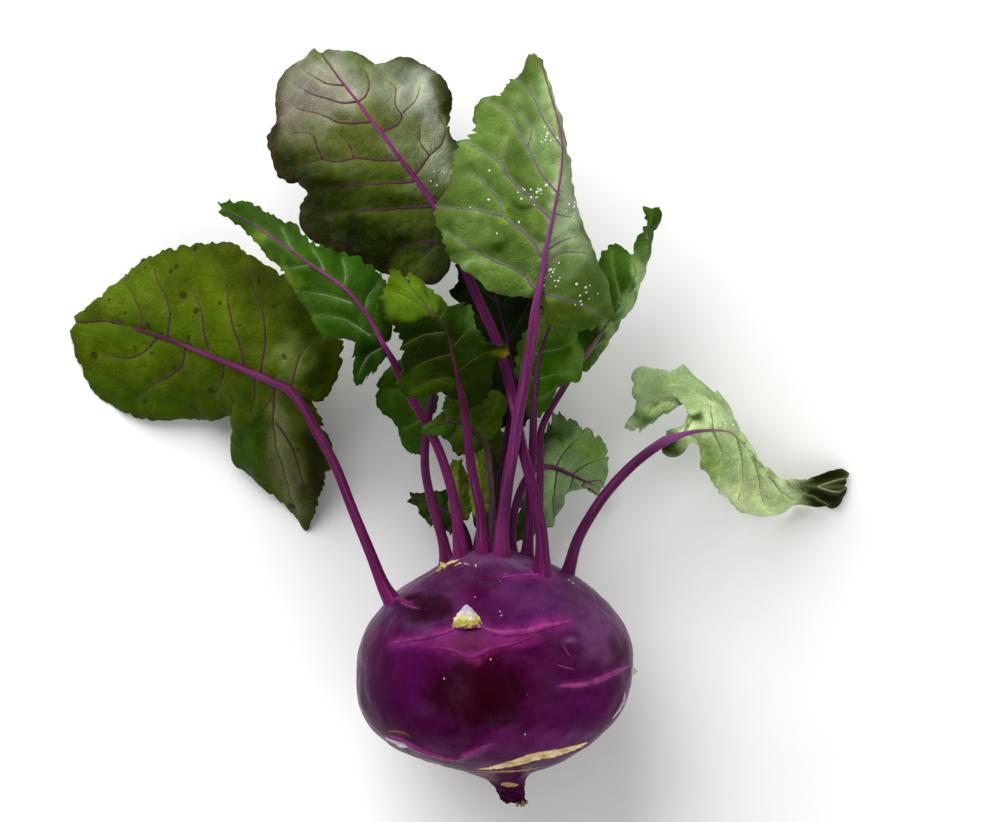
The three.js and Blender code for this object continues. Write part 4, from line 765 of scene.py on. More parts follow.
def leaf_material(name, look):
    """A blade's skin: cloudy, grained and netted by the finest veins. Its look may add spots, and a haze of wax with
    painted sheen on it.
    """
    material, tree = new_material(name)
    place = millimetres(tree)
    warp = node(tree, "ShaderNodeTexNoise", {"Vector": place, "Scale": 0.3, "Detail": 2.0}).outputs["Color"]
    bent = node(tree, "ShaderNodeVectorMath", {0: warp, 1: (2.2, 2.2, 2.2), 2: place}, operation="MULTIPLY_ADD")
    wide_net = spread(tree, cells(tree, bent.outputs[0], 4.6), 0.0, 0.07, 1, 0)
    fine_net = spread(tree, cells(tree, bent.outputs[0], 1.5), 0.0, 0.1, 1, 0)
    cloud = noise(tree, place, 11, 4)
    grain = noise(tree, place, 0.7, 3)

    tone = dappled(tree, attribute(tree, "tint"), cloud, 0.3, 0.7, 0.86, 1.12)
    tone = dappled(tree, tone, grain, 0.25, 0.75, 0.88, 1.1)
    net = plus(tree, times(tree, wide_net, 0.26), times(tree, fine_net, 0.12))
    net = times(tree, net, look["net"])
    tone = mixed(tree, net, tone, scaled(tree, tone, 1.75))
    # A greyish haze of wax with a painted sheen of light on it.
    haze = times(tree, spread(tree, noise(tree, place, 7, 6, 0.65), 0.45, 0.75), look["bloom_and_sheen"])
    tone = mixed(tree, haze, tone, colour(WAX_SHEEN))
    if look["spots"]:
        size = spread(tree, noise(tree, place, 8, 1), 0.42, 0.68, 0.0, 0.3)
        near = spread(tree, minus(tree, cells(tree, place, 5.2, "F1"), size), -0.06, 0.0, 1, 0)
        near = times(tree, near, spread(tree, grain, 0.3, 0.6, 0.5, 0.9), look["spots"])
        tone = mixed(tree, near, tone, colour(SPOT))
    roughness = spread(tree, cloud, 0.3, 0.7, 0.38, 0.52)
    height = minus(tree, times(tree, grain, 0.5), times(tree, wide_net, 0.5), times(tree, fine_net, 0.25))
    finish_material(tree, tone, roughness, height, 0.35, 0.8, specular=0.025)
    return material


def stalk_material():
    """Purple skin with lengthwise streaks. The attribute grain runs along the stalk."""
    material, tree = new_material("stalk_skin")
    streak = noise(tree, attribute(tree, "grain", "Vector"), 0.9, 3)
    speck = noise(tree, millimetres(tree), 0.8, 4)
    tone = dappled(tree, attribute(tree, "tint"), streak, 0.3, 0.7, 0.72, 1.25)
    tone = mixed(tree, times(tree, spread(tree, streak, 0.56, 0.72), 0.08), tone, colour("#b98bb4"))
    tone = mixed(tree, times(tree, spread(tree, speck, 0.58, 0.8), 0.1), tone, colour("#b7a3bb"))
    roughness = spread(tree, speck, 0.3, 0.7, 0.34, 0.5)
    height = plus(tree, times(tree, streak, 0.8), times(tree, speck, 0.3))
    finish_material(tree, tone, roughness, height, 0.25, 0.6, specular=0.05)
    return material


def vein_material():
    material, tree = new_material("vein_skin")
    place = millimetres(tree)
    tone = dappled(tree, attribute(tree, "tint"), noise(tree, place, 1.2, 3), 0.3, 0.7, 0.8, 1.2)
    finish_material(tree, tone, 0.5, noise(tree, place, 0.5, 2), 0.1, 0.4, specular=0.06)
    return material


def bulb_material():
    """Waxy purple skin. The attribute bloom_and_sheen is where the wax is thick and where a sheen of light is painted
    on, and cork where the skin is torn.
    """
    material, tree = new_material("bulb_skin")
    place = millimetres(tree)
    cloud = noise(tree, place, 16, 5, 0.6)
    patch = noise(tree, place, 4.5, 5, 0.6)
    fine = noise(tree, place, 0.8, 4)
    tint = attribute(tree, "tint")
    bloom_and_sheen = attribute(tree, "bloom_and_sheen", "Fac")
    cork = attribute(tree, "cork", "Fac")

    tone = dappled(tree, tint, cloud, 0.3, 0.7, 0.82, 1.2)
    tone = dappled(tree, tone, patch, 0.3, 0.7, 0.92, 1.1)
    # A greyish haze where the wax bloom is, and where sheen of light is painted on.
    haze = times(tree, spread(tree, patch, 0.3, 0.75, 0.25, 1.0), bloom_and_sheen, spread(tree, fine, 0.2, 0.8, 0.6, 1.0))
    tone = mixed(tree, times(tree, haze, 0.6), tone, colour("#73567a"))
    dots = spread(tree, cells(tree, place, 5.5, "F1"), 0.03, 0.07, 1, 0)
    dots = times(tree, dots, spread(tree, cloud, 0.45, 0.6), 0.35)
    tone = mixed(tree, dots, tone, colour("#a884a8"))
    tone = mixed(tree, cork, tone, dappled(tree, tint, fine, 0.25, 0.75, 0.72, 1.2))

    smooth = spread(tree, patch, 0.3, 0.7, 0.2, 0.34)
    roughness = plus(tree, smooth, times(tree, haze, 0.25), times(tree, cork, 0.45))
    height = plus(tree, times(tree, patch, 0.12), times(tree, cork, fine), times(tree, fine, 0.05))
    finish_material(tree, tone, roughness, height, 0.5, 0.6, specular=0.025)
    return material


def torn_material():
    """Dry torn tissue: fibrous, matt."""
    material, tree = new_material("torn_tissue")
    fibre = noise(tree, millimetres(tree), 0.7, 5, 0.7)
    tone = dappled(tree, attribute(tree, "tint"), fibre, 0.3, 0.7, 0.7, 1.2)
    finish_material(tree, tone, 0.75, fibre, 0.4, 0.8, specular=0.25)
    return material


def water_material():
    material, tree = new_material("water_drop")
    finish_material(tree, (0.93, 0.96, 0.94, 1), 0.08, **{"IOR": 1.33, "Transmission Weight": 0.3})
    return material


STALK_SKIN = stalk_material()
VEIN_SKIN = vein_material()
TORN = torn_material()
WATER = water_material()

# ---------------------------------------------------------------- bulb surface

PROFILE = Line(BULB_PROFILE)


def bulb_section(along):
    """Radius and sideways shift at places along the bulb's axis."""
    places, radii, shifts = PROFILE.points.T
    order = np.argsort(places)
    return np.interp(along, places[order], radii[order]), np.interp(along, places[order], shifts[order])


def bulb_point(across, raised, along, shift):
    """A place of the bulb, given from its tilted axis, in plan and height."""
    return np.stack(
        [across + shift, along * TILT_COS - raised * TILT_SIN, BULB_HEIGHT + raised * TILT_COS + along * TILT_SIN],
        axis=-1,
    )


def on_bulb(plan, lift=0.0):
    """Points of the bulb's upper side at places in plan."""
    x, y = np.asarray(plan, float)[:, :2].T
    raised = np.full_like(x, BULB_RADIUS / 2)
    for _ in range(40):  # each turn halves what is still wrong
        along = (y + raised * TILT_SIN) / TILT_COS
        radius, shift = bulb_section(along)
        across = x - shift
        raised = 0.5 * raised + 0.5 * np.sqrt(np.maximum(radius**2 - across**2, 1))
    points = bulb_point(across, raised, along, shift)
    return points + unit(points - (0, 0, BULB_HEIGHT)) * lift


def dense(line, step=0.4):
    """A plan line as closely spaced points, with the share of the way along each."""
    curve = Line([(x, y, 0) for x, y in line])
    t = np.linspace(0, 1, max(int(curve.length / step), 4))
    return curve.at(t)[:, :2], t


def nearest(points, targets):
    """For each point, the distance to the nearest target and that target's number."""
    tree = KDTree(len(targets))
    for i, target in enumerate(targets):
        tree.insert(target, i)
    tree.balance()
    found = [tree.find(p)[1:] for p in points.tolist()]
    return np.array([d for _, d in found]), np.array([i for i, _ in found])


# ---------------------------------------------------------------- leaf blades


def smoothed(values, width):
    """Values along the first axis averaged over a bell of the given width in rows."""
    reach = int(width * 3) + 1
    weights = np.exp(-0.5 * (np.arange(-reach, reach + 1) / width) ** 2)
    weights /= weights.sum()
    padded = np.pad(values, ((reach, reach), (0, 0)), "reflect", reflect_type="odd")
    return np.stack([np.convolve(c, weights, "valid") for c in padded.T], axis=-1)


def scallops(run, seed, pointed):
    """Irregular teeth along an edge: 0 on a tooth, up to about 1 in the notches."""
    places = np.stack([run, np.zeros_like(run), np.zeros_like(run)], axis=-1)
    total = np.zeros_like(run)
    for number, (spacing, share) in enumerate(POINTED_TEETH if pointed else ROUND_TEETH):
        drift = field(places, 19, seed + number) * 1.7
        depth = np.clip(0.65 + 0.45 * field(places, 12, seed + 5 + number), 0.15, 1.2)
        turn = math.pi * run / spacing + drift
        saw = np.abs(np.mod(turn / math.pi, 1) * 1.4 - 0.4)
        total += share * depth * (1.8 * saw if pointed else (1 - np.abs(np.sin(turn))) ** 1.3)
    return total


def blade_half(leaf, look, side, row, row_width, middle, face, seed):
    """One half of a blade from its midrib out, and how far out each point is."""
    margin = Line(leaf[side])
    edge = margin.at(row)
    tooth_seed, phase = HALVES[side]
    widths = np.linalg.norm(edge - middle, axis=1)
    columns = int(np.clip(np.percentile(widths, 80) / COLUMN_STEP, *COLUMN_LIMITS))
    reach = np.linspace(0, 1, columns + 1)[None, :, None]
    slant = np.linalg.norm(np.cross(unit(edge - middle), margin.tangent(row)), axis=1)
    teeth = scallops(row * margin.length, seed + tooth_seed, look["pointed"])
    notch = look["teeth"] * TOOTH_DEPTH * teeth
    notch = notch / (np.maximum(widths, 4) * np.clip(slant, 0.4, 1))
    reach = reach - notch[:, None, None] * reach**9
    calm = smoothed(edge, EDGE_CALM / row_width)
    outer = calm[:, None] + (edge - calm)[:, None] * reach**3
    fold = leaf.get(side + "_fold")
    if fold:
        half = Line(fold).at(row)
    else:
        half = (middle + calm) / 2 + face * (leaf["bulge"] * widths)[:, None]
    core = middle[:, None]
    pull = 2 * half[:, None] - 0.5 * core - 0.5 * outer
    sheet = core * (1 - reach) ** 2 + pull * 2 * reach * (1 - reach) + outer * reach**2
    swing = np.sin(row * 2 * math.pi * leaf["waves"] + phase)
    narrow = np.minimum(1, widths / NARROW)
    depth = leaf["wave"] * (swing * narrow)[:, None, None] * np.abs(reach) ** 1.6
    fine = field(np.broadcast_to(outer, sheet.shape), 8, seed + 11)[..., None]
    depth = depth + 0.55 * fine * narrow[:, None, None] * np.abs(reach) ** 2.5
    return sheet + face[:, None] * depth, reach[..., 0]


def blade_middle(leaf, look, seed):
    """The blade's middle surface as rows of points, with each point's place across it."""
    rib, left, right = (Line(leaf[key]) for key in ("rib", "left", "right"))
    longest = max(line.length for line in (rib, left, right))
    rows = int(np.clip(longest / ROW_STEP, *ROW_LIMITS))
    row_width = longest / rows
    row = np.linspace(0, 1, rows)
    along = row ** leaf["fan"]
    spine = rib.at(along)
    outward = unit(right.at(row) - spine) - unit(left.at(row) - spine)
    face = unit(smoothed(unit(np.cross(outward, rib.tangent(along))), FACE_CALM / row_width))
    rib_start, rib_end = leaf["radii"][2:]
    middle = spine - face * ((rib_start + (rib_end - rib_start) * along) * RIB_SEAT)[:, None]
    (left_sheet, left_reach), (right_sheet, right_reach) = (
        blade_half(leaf, look, side, row, row_width, middle, face, seed) for side in HALVES
    )
    grid = np.concatenate([left_sheet[:, :0:-1], right_sheet], axis=1)
    across = np.concatenate([-left_reach[:, :0:-1], right_reach], axis=1)
    return grid, across, row


def grid_normals(grid):
    return unit(np.cross(np.gradient(grid, axis=1), np.gradient(grid, axis=0)))


def runs_on(tree, line):
    """The parts of a plan line that lie on a surface seen from above: points and normals."""
    plan, _ = dense(line, 0.6)
    parts, current = [], []
    for x, y in plan:
        found = seen_from_above(tree, x, y)
        if found is None or (current and abs(found[0][2] - current[-1][0][2]) >= 1.6):
            parts.append(current)
            current = []
        if found is not None:
            current.append(found)
    parts.append(current)
    return [(np.array([p for p, _ in part]), np.array([n for _, n in part])) for part in parts if len(part) > 4]


def branches(veins, tree, seed):
    """Finer veins that leave the drawn ones on alternating sides."""
    rng = np.random.default_rng(seed)
    found = []
    for points, _ in veins:
        run = run_along(points)
        place, side = rng.uniform(*BRANCH_START), rng.choice([-1, 1])
        while place < run[-1] - 1.5:
            i = int(np.searchsorted(run, place))
            way = unit(points[min(i + 2, len(points) - 1), :2] - points[max(i - 2, 0), :2])
            turn = side * rng.uniform(*BRANCH_TURN)
            length = rng.uniform(*BRANCH_LENGTH) * (1 - 0.4 * place / run[-1])
            line, spot = [], points[i, :2].copy()
            for _ in range(6):
                line.append(tuple(spot))
                cos, sin = math.cos(turn), math.sin(turn)
                spot = spot + np.array([way[0] * cos - way[1] * sin, way[0] * sin + way[1] * cos]) * length / 5
                turn += -side * rng.uniform(-0.05, 0.22)
            found += runs_on(tree, line)[:1]
            place += rng.uniform(*BRANCH_GAP)
            side = -side
    return found


def ruled_veins(leaf, pairs, grid, normals, across, row, seed):
    """Side veins that leave the midrib in pairs and curve towards the tip."""
    rng = np.random.default_rng(seed)
    centre = int(np.argmin(np.abs(across[0])))
    parts = []
    for i in range(pairs):
        for way in (-1, 1):
            place = (i + 0.5 + rng.uniform(-0.2, 0.2)) / (pairs + 0.6)
            start = place ** (1 / leaf["fan"])
            t = np.linspace(0, 1, 26)
            rows = np.clip(start + (0.13 + 0.05 * rng.random()) * t**1.3 - 0.02 * t, 0, 1) * (len(row) - 1)
            outer = centre if way < 0 else grid.shape[1] - 1 - centre
            columns = np.clip(centre + way * t * 0.9 * outer, 0, grid.shape[1] - 1)
            r, c = np.round(rows).astype(int), np.round(columns).astype(int)
            points = smoothed(grid[r, c], 1.5)
            if step_lengths(points).sum() > 5:
                parts.append((points, normals[r, c]))
    return parts


def quilt(distance, height, width):
    """Skin that bulges up by height between veins, over a width beside each."""
    return height * (1 - np.exp(-((distance / width) ** 1.3)))


def leaf_relief(points, to_main, to_fine, seed, crinkle):
    """How far the blade stands up from its middle surface: sunk along veins, quilted between them."""
    pillow = quilt(to_main, *QUILTS[0]) + quilt(to_fine, *QUILTS[1])
    waves = 0.3 * field(points, 9, seed) + 0.14 * field(points, 3.2, seed + 1)
    return pillow - 0.4 + waves + crinkle * field(points, 2.4, seed + 2)


def patched(tone, patches, points, seed):
    """A tone with soft patches of other colours over it."""
    tint = np.broadcast_to(tone, points.shape).copy()
    wander = fields(points, 15, (seed, seed + 3)) * 2.6 + fields(points, 5, (seed + 7, seed + 10))
    for centre, size, code, *firm in patches:
        off = (points[..., :2] + wander * (0.4 if firm else 1) - centre) / size
        weight = np.exp(-0.9 * (off**2).sum(-1) ** (firm[0] if firm else 1.3))
        tint = blend(tint, colour(code), weight)
    return tint


def blade_tint(look, points, across, to_main, to_fine, seed):
    """The blade's colour at each point: patches, paler skin beside the veins that is painted light on their creases,
    and a rim.
    """
    tint = patched(colour(look["tone"]), look["patches"], points, seed)
    # Paler skin beside the main and fine veins: painted light on the creases along them.
    halo = look["halo"] * bell(to_main, 1.5)
    tint = tint * (1 + halo[..., None] * (0.3, 0.26, 0.16))
    tint = blend(tint, tint * (1.22, 1.2, 1.1), 0.6 * bell(to_fine, 0.8))
    tint = mottled(tint, points, 0.08, 5, seed + 23)
    tint = blend(tint, colour(look["vein"]), 0.3 * bell(to_main, 0.7))
    rim = smooth_step(np.abs(across), look["rim"], 1)
    tint = blend(tint, colour(look["edge"]), 0.75 * rim)
    tint = mottled(tint, points, 0.12, 19, seed + 21)
    tint[:, 2] *= np.clip((tint[:, 1] / 0.13) ** 0.6, 0.2, 1.15)  # dark leaf is yellower
    return tint


def build_veins(name, look, veins, fine_veins, on_veins, seed):
    """The side veins, main and fine, as thin tubes that follow the blade's relief."""
    parts = []
    for order, (centres, ups) in enumerate(veins + fine_veins):
        fine = order >= len(veins)
        ups = unit(smoothed(ups, 2))
        centres = smoothed(centres, 1.2)
        away = nearest(centres, on_veins)[0] if fine else np.zeros(len(centres))
        drop = leaf_relief(centres, away, 0 * away, seed, look["crinkle"])[:, None]
        centres = centres + ups * (drop + SHEET / 2 + 0.02)
        foot, tip = FINE_VEIN
        if not fine:
            foot = min(MAIN_VEIN["most"], MAIN_VEIN["base"] + step_lengths(centres).sum() * MAIN_VEIN["gain"])
            tip = MAIN_VEIN["tip"]
        points, faces = tube_parts(centres, np.linspace(foot, tip, len(centres)), VEIN_SIDES, ups)
        share = np.repeat(np.linspace(0, 1, len(centres)), VEIN_SIDES)
        tone = patched(colour(look["tone"]), look["patches"], np.repeat(centres, VEIN_SIDES, axis=0), seed)
        tint = blend(colour(look["vein"]), colour(look["rib"]), 0.3 * (1 - share))
        parts.append((points, faces, blend(tint, 1.25 * tone, 0.8 if fine else 0.05 + 0.2 * share)))
    points, faces, tint = joined(parts)
    piece = make_piece("veins_" + name, points, faces, VEIN_SKIN, look["slot"], tint)
    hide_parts("blade_" + name)


def build_leaf(number, name):
    """A leaf's blade and its veins. Gives back the blade's surface, to set things on."""
    leaf, look, seed = LEAVES[name], LOOKS[name], 100 * (number + 1)
    grid, across, row = blade_middle(leaf, look, seed)
    normals = grid_normals(grid)
    rows, columns = across.shape
    flat = grid.reshape(-1, 3)
    tree = BVHTree.FromPolygons(flat.tolist(), grid_faces(rows, columns).tolist())
    if "drawn" in look:
        veins = [part for line in look["drawn"] for part in runs_on(tree, line)]
    else:
        veins = ruled_veins(leaf, look["pairs"], grid, normals, across, row, seed)
    fine_veins = branches(veins, tree, seed + 40)
    rib_points = Line(leaf["rib"]).at(np.linspace(0, 1, 200))
    on_veins = np.vstack([points for points, _ in veins] + [rib_points])
    on_fine = np.vstack([points for points, _ in veins + fine_veins] + [rib_points])
    to_main, _ = nearest(flat, on_veins)
    to_fine, _ = nearest(flat, on_fine)

    relief = leaf_relief(flat, to_main, to_fine, seed, look["crinkle"]).reshape(rows, columns, 1)
    edge_fade = 1 - 0.6 * smooth_step(np.abs(across), 0.9, 1)[..., None]
    sheets = [grid + normals * (relief * edge_fade + side * SHEET / 2) for side in (1, -1)]
    lift = np.maximum(0, -np.minimum(sheets[0][..., 2], sheets[1][..., 2]))  # out of the floor
    for sheet in sheets:
        sheet[..., 2] += lift
    points = np.vstack([sheet.reshape(-1, 3) for sheet in sheets])
    faces = sheet_faces(rows, columns)

    tint = blade_tint(look, flat, across.ravel(), to_main, to_fine, seed)
    under = blend(tint, colour(UNDERSIDE), np.full(len(flat), 0.22))
    material = leaf_material("leaf_" + name, look)
    piece = make_piece("leaf_" + name, points, faces, material, look["slot"], np.vstack([tint, under]))
    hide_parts("blade_" + name)
    build_veins(name, look, veins, fine_veins, on_veins, seed)
    return BVHTree.FromPolygons(points.tolist(), faces)


# ---------------------------------------------------------------- stalks


def stalk_radius(leaf, look, run, stem_length):
    """The radius along a stalk: flared at its foot, slimmer up to the blade, thinning along the rib."""
    foot, stem, rib_start, _ = leaf["radii"]
    from_foot = np.maximum(run - FOOT_SUNK, 0)
    on_stem = stem + (rib_start - stem) * np.clip(from_foot / (stem_length - FOOT_SUNK), 0, 1)
    slender = smooth_step(run, stem_length - 14, stem_length) * (1 - look["slender"])
    on_stem = on_stem * (1 - slender)
    share = np.clip((run - stem_length) / (run[-1] - stem_length), 0, 1)
    on_rib = RIB_TIP + (rib_start * look["slender"] - RIB_TIP) * (1 - share) ** look["fall"]
    radius = np.where(run < stem_length, on_stem, on_rib)
    radius = radius + (foot - stem) * np.exp(-from_foot / (0.05 * run[-1]))
    return radius + FOOT_FLARE * np.exp(-from_foot / FLARE_LENGTH)


def build_stalk(number, name):
    """A leaf's stalk and midrib in one, from its flared foot at the crown to the tip."""
    leaf, look, seed = LEAVES[name], LOOKS[name], 100 * (number + 1) + 50
    rib = Line(leaf["rib"])
    rib_points = rib.at(np.linspace(0, look["reach"], len(leaf["rib"]) * 2 + 1))
    stalk = np.array(leaf["stalk"], float)
    root = stalk[0] + unit(stalk[0] - stalk[1]) * FOOT_SUNK
    whole = Line(np.vstack([root, stalk, rib_points]))
    stem_length = Line(np.vstack([root, stalk, leaf["rib"][:1]])).length
    steps = int(whole.length / STALK_STEP)
    t = np.linspace(0, 1, steps)
    run = t * whole.length
    radius = stalk_radius(leaf, look, run, stem_length)
    angles = circle(STALK_SIDES)
    ribbed = 1 + 0.035 * np.sin(angles * 5 + number)[None] + 0.02 * np.sin(angles * 3 + run[:, None] * 0.05)
    centres = whole.at(t)
    wobble = fields(centres, 22, (seed, seed + 1, seed + 2)) * 0.22
    centres = centres + wobble * smooth_step(run, 4, 12)[:, None]
    points, faces = tube_parts(centres, radius[:, None] * ribbed, STALK_SIDES)
    points[:, 2] = np.maximum(points[:, 2], 0.05)

    length = np.repeat(run, STALK_SIDES)
    stem_tone, rib_tone = colour(look["stalk"]), colour(look["rib"])
    tint = blend(stem_tone, rib_tone, smooth_step(length, stem_length - 12, stem_length + 6))
    tip = blend(rib_tone, colour(look["tone"]), np.full(len(points), 0.75))
    tint = blend(tint, tip, smooth_step(length, whole.length - 0.3 * rib.length, whole.length))
    tint = blend(tint, colour(FOOT), 0.7 * np.exp(-np.maximum(length - FOOT_SUNK, 0) / 7))
    tint = mottled(tint, points, 0.15, 16, seed + 9)
    around = np.tile(angles, steps)
    grain = np.stack([np.cos(around) * 1.8 + number * 9, np.sin(around) * 1.8, length * 0.05], axis=-1)
    piece = make_piece("leafstalk_" + name, points, faces, STALK_SKIN, "stalk", tint, {"grain": grain})
    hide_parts("stalk_" + name)


# ---------------------------------------------------------------- bulb

BULB_MIDDLE, BULB_RIM, STUB, STUB_END, CROWN = "#420538", "#3e0636", "#2c0420", "#8c7454", "#6c3a60"
STALK_SCAR, LIP_SHADE = "#7c2c6c", "#4c0838"
# Leaf scars and corky lines: plan line, height, half width, colour, how corky.
SCARS = [
    ([(-35, 6.2), (-28, 7.4), (-20, 9), (-15, 10.6), (-11, 12)], 0.45, 2.0, "#74226a", 0.1),
    ([(-6, 12.6), (-2, 10.4), (3, 9.8), (10, 10.3), (15, 11.8), (24, 13.4)], 0.5, 2.2, "#7c2470", 0.1),
    ([(-24, 5.2), (-16, 4.6), (-11, 2.8), (-8.2, 2), (-5, 3.4), (-1, 5), (7, 6.8), (12.6, 9.6)], 0.3, 1.4, "#6e1450",
     0.05),
    ([(20, -7.4), (27, -7.2), (33, -5.6), (39, -2.8), (43.5, -1)], 0.45, 1.4, "#702468", 0.1),
    ([(-36.2, -23.8), (-31, -24.7), (-26, -27.6), (-20, -30), (-14, -31.2), (-8, -28.8), (-1, -26)], 0.5, 1.6,
     "#742a6c", 0.1),
    ([(1, 27.6), (8, 28.4), (14, 28.4), (21, 28)], 0.3, 1.5, "#74286a", 0.1),
    ([(11, 29.6), (15, 29.9), (18.6, 29.4)], 0.1, 0.3, "#8c7838", 0.8),
    ([(20.4, 7), (22, 5), (22.6, 3), (25, 1.6)], 0.1, 0.55, "#2c0420", 0.2),
    ([(19.4, -0.6), (22, -1.4), (25.4, -2.2)], 0.1, 0.5, "#33061c", 0.2),
    ([(-35.4, -22.4), (-31, -22.4), (-28, -23.8)], 0.05, 0.55, "#5c3a18", 0.6),
    ([(-27, 19), (-35, 21.4)], 0.15, 0.5, "#8a2c70", 0.1),
    ([(-31.6, 19.6), (-28, 18), (-25, 17.4)], 0.1, 0.5, "#64205c", 0.1),
]
# The lips are painted lighter at the crest and darker down their sides, as painted highlight and painted shade.
RIDGES = [  # which of the scars stand up as firm lips: number, radius, colour at the crest
    (0, 1.0, "#742260"), (1, 1.35, "#8c3070"), (2, 0.95, "#6a1a54"), (3, 1.2, "#863270"), (4, 1.35, "#842e6c"),
    (7, 0.6, "#5c1c48"), (8, 0.55, "#6c2058"), (5, 0.7, "#7c2c72"),
    (9, 0.4, "#7a5428"), (11, 0.45, "#6e2460"),
]
CORK = [  # name, upper edge in plan, width down the skin, colour
    ("cork_band", [(-7.6, -34.8), (-2, -33.6), (3.9, -31.8), (11.7, -29.2), (20.5, -27.8), (26, -26.6), (30.6, -25.4)],
     7.0, "#ecd09c"),
    ("cork_line", [(-8.4, -35.3), (-2, -35.3), (4, -35.1), (10, -34.6), (14, -33.8)], 1.9, "#b08a54"),
    ("pale_scuff", [(-36.4, -24.1), (-34.6, -24.8), (-32, -25.6), (-29.2, -26.8)], 4.2, "#e0d2da"),
    ("edge_scuff", [(41.4, -9), (40.8, -12), (39.4, -15), (37, -18.4)], 3.0, "#b4a0b4"),
    ("stub_scar", [(0.2, -39.6), (3.6, -39), (7.2, -39.8)], 2.2, "#b8935c"),
]
CORK_STAINS = [(5, -32.8), (15.6, -30.4), (10, -31.6), (22, -28.6)]  # yellow, on the cork band
# Patches of other colours: plan centre, half widths, colour, strength, how firm the edge. The dark middle and the dark
# oval at the upper left are the skin's dark crimson with painted dark reflections over it, and the lilac patches at
# the upper right and along the top are wax bloom with painted sheen.
BULB_PATCHES = [
    ((-4, -7), (25, 14), "#3c0228", 0.55, 1.8), ((12, -26), (17, 5), "#6c2064", 0.6, 1.4),
    ((34, 9), (8, 9), "#7c4c7a", 0.45, 1.4), ((-2, 33.4), (15, 3), "#684468", 0.5, 1.4),
    ((-7, -20), (17, 9), "#3c022e", 0.45, 1.4), ((11, -12), (8, 11), "#3c022e", 0.6, 1.6),
    ((-26, -8), (4, 12), "#460640", 0.7, 1.6), ((-16, 7.0), (15, 2.4), "#621858", 0.75, 1.6),
    ((3, 7.8), (13, 2.2), "#681a58", 0.8, 1.6), ((-8.3, 1.4), (2.6, 2.0), "#9c3c66", 0.85, 1.4),
    ((6, 6.6), (3, 1.4), "#8c2c70", 0.6, 1.4), ((-9, 6.4), (8, 2.8), "#54102c", 0.6, 1.8),
    ((-26, 20), (14, 8.4), "#5c3662", 0.55, 1.8), ((-24.2, 17.9), (10.2, 4.9), "#260014", 0.97, 6),
    ((-19, 23.4), (6, 2.6), "#300420", 0.6, 1.6), ((-6, 26), (9, 3.4), "#340626", 0.75, 1.6),
    ((7, 33.5), (6, 3.0), "#5c4464", 0.7, 1.6), ((22, 1.6), (1.3, 1.2), "#5c0c1c", 0.7, 1.4),
    ((23.4, 7.4), (2.2, 1.0), "#7c5078", 0.55, 1.4), ((22, 3.6), (3.4, 3), "#34052a", 0.6, 1.6),
    ((37, 6), (2.6, 4), "#280420", 0.7, 1.8), ((40, 1.6), (1.6, 3), "#2c0420", 0.7, 1.8),
    ((-22, -29), (5, 2), "#5f2c66", 0.6, 1.4), ((-35, 14), (6, 6), "#38103a", 0.5, 1.6),
    ((6, -43), (7, 6), "#38042a", 0.95, 1.6), ((28, -15), (10, 9), "#4f0a4c", 0.6, 1.6),
    ((14, 20), (14, 8), "#542658", 0.5, 1.4), ((30, 14), (7, 8), "#5c2c5e", 0.55, 1.6),
    ((3.6, -12), (1.2, 12), "#560a3c", 0.5, 1.4), ((-12.4, -9), (1, 11), "#480626", 0.4, 1.4),
    ((28, -24), (5, 2), "#5c2060", 0.5, 1.4), ((-5.6, -9.4), (15.8, 12.2), "#26000c", 0.95, 3.8),
    ((-37, -8), (4, 14), "#3a0632", 0.5, 1.4),
]
CROWN_BITS = [  # torn bits at the crown: plan place, size, colour
    ((-17.4, 31), (2.7, 1.1, 0.9), "#b8a860"), ((-14.2, 32), (2.0, 0.9, 0.8), "#ccbc80"),
    ((-9.4, 31.2), (2.0, 0.7, 0.5), "#b4a858"), ((-7.0, 31), (1.5, 0.6, 0.4), "#b09c50"),
    ((-12.2, 31.4), (1.5, 0.6, 0.6), "#bca868"), ((-18.6, 29.6), (1.0, 1.3, 0.7), "#a08a48"),
]
STUB_FRAYS = [(2.6, 2.2, 1.3), (3.4, 0.6, 1.0), (1.2, 3.2, 0.8), (2.2, -1.8, 0.9)]  # across, up, size
# Places of white glints on the skin, built as tiny pale lumps: painted highlights.
GLINT_FLECKS = [  # tiny pale bits on the skin
    (-7, 21), (1, 26), (1, 16.5), (1.4, 15.2), (23, 26.5), (24.5, 25.5), (-17, -5), (30, 16.8), (9, -23), (-2, 1.2),
]


def patched_skin(points, tint):
    """The upper side's colour with its painted patches, among them painted dark reflections and sheen."""
    seen = smooth_step(points[:, 2], BULB_HEIGHT - 8, BULB_HEIGHT + 2)
    slow, quick = fields(points, 9, (30, 31)), fields(points, 3, (32, 33))
    for centre, size, code, strength, firm in BULB_PATCHES:
        wander = slow * min(size) * (0.1 if firm > 2 else 0.3) + quick * min(size) * 0.08
        off = (points[:, :2] + wander - centre) / size
        tint = blend(tint, colour(code), strength * seen * np.exp(-((off**2).sum(-1) ** firm)))
    return tint


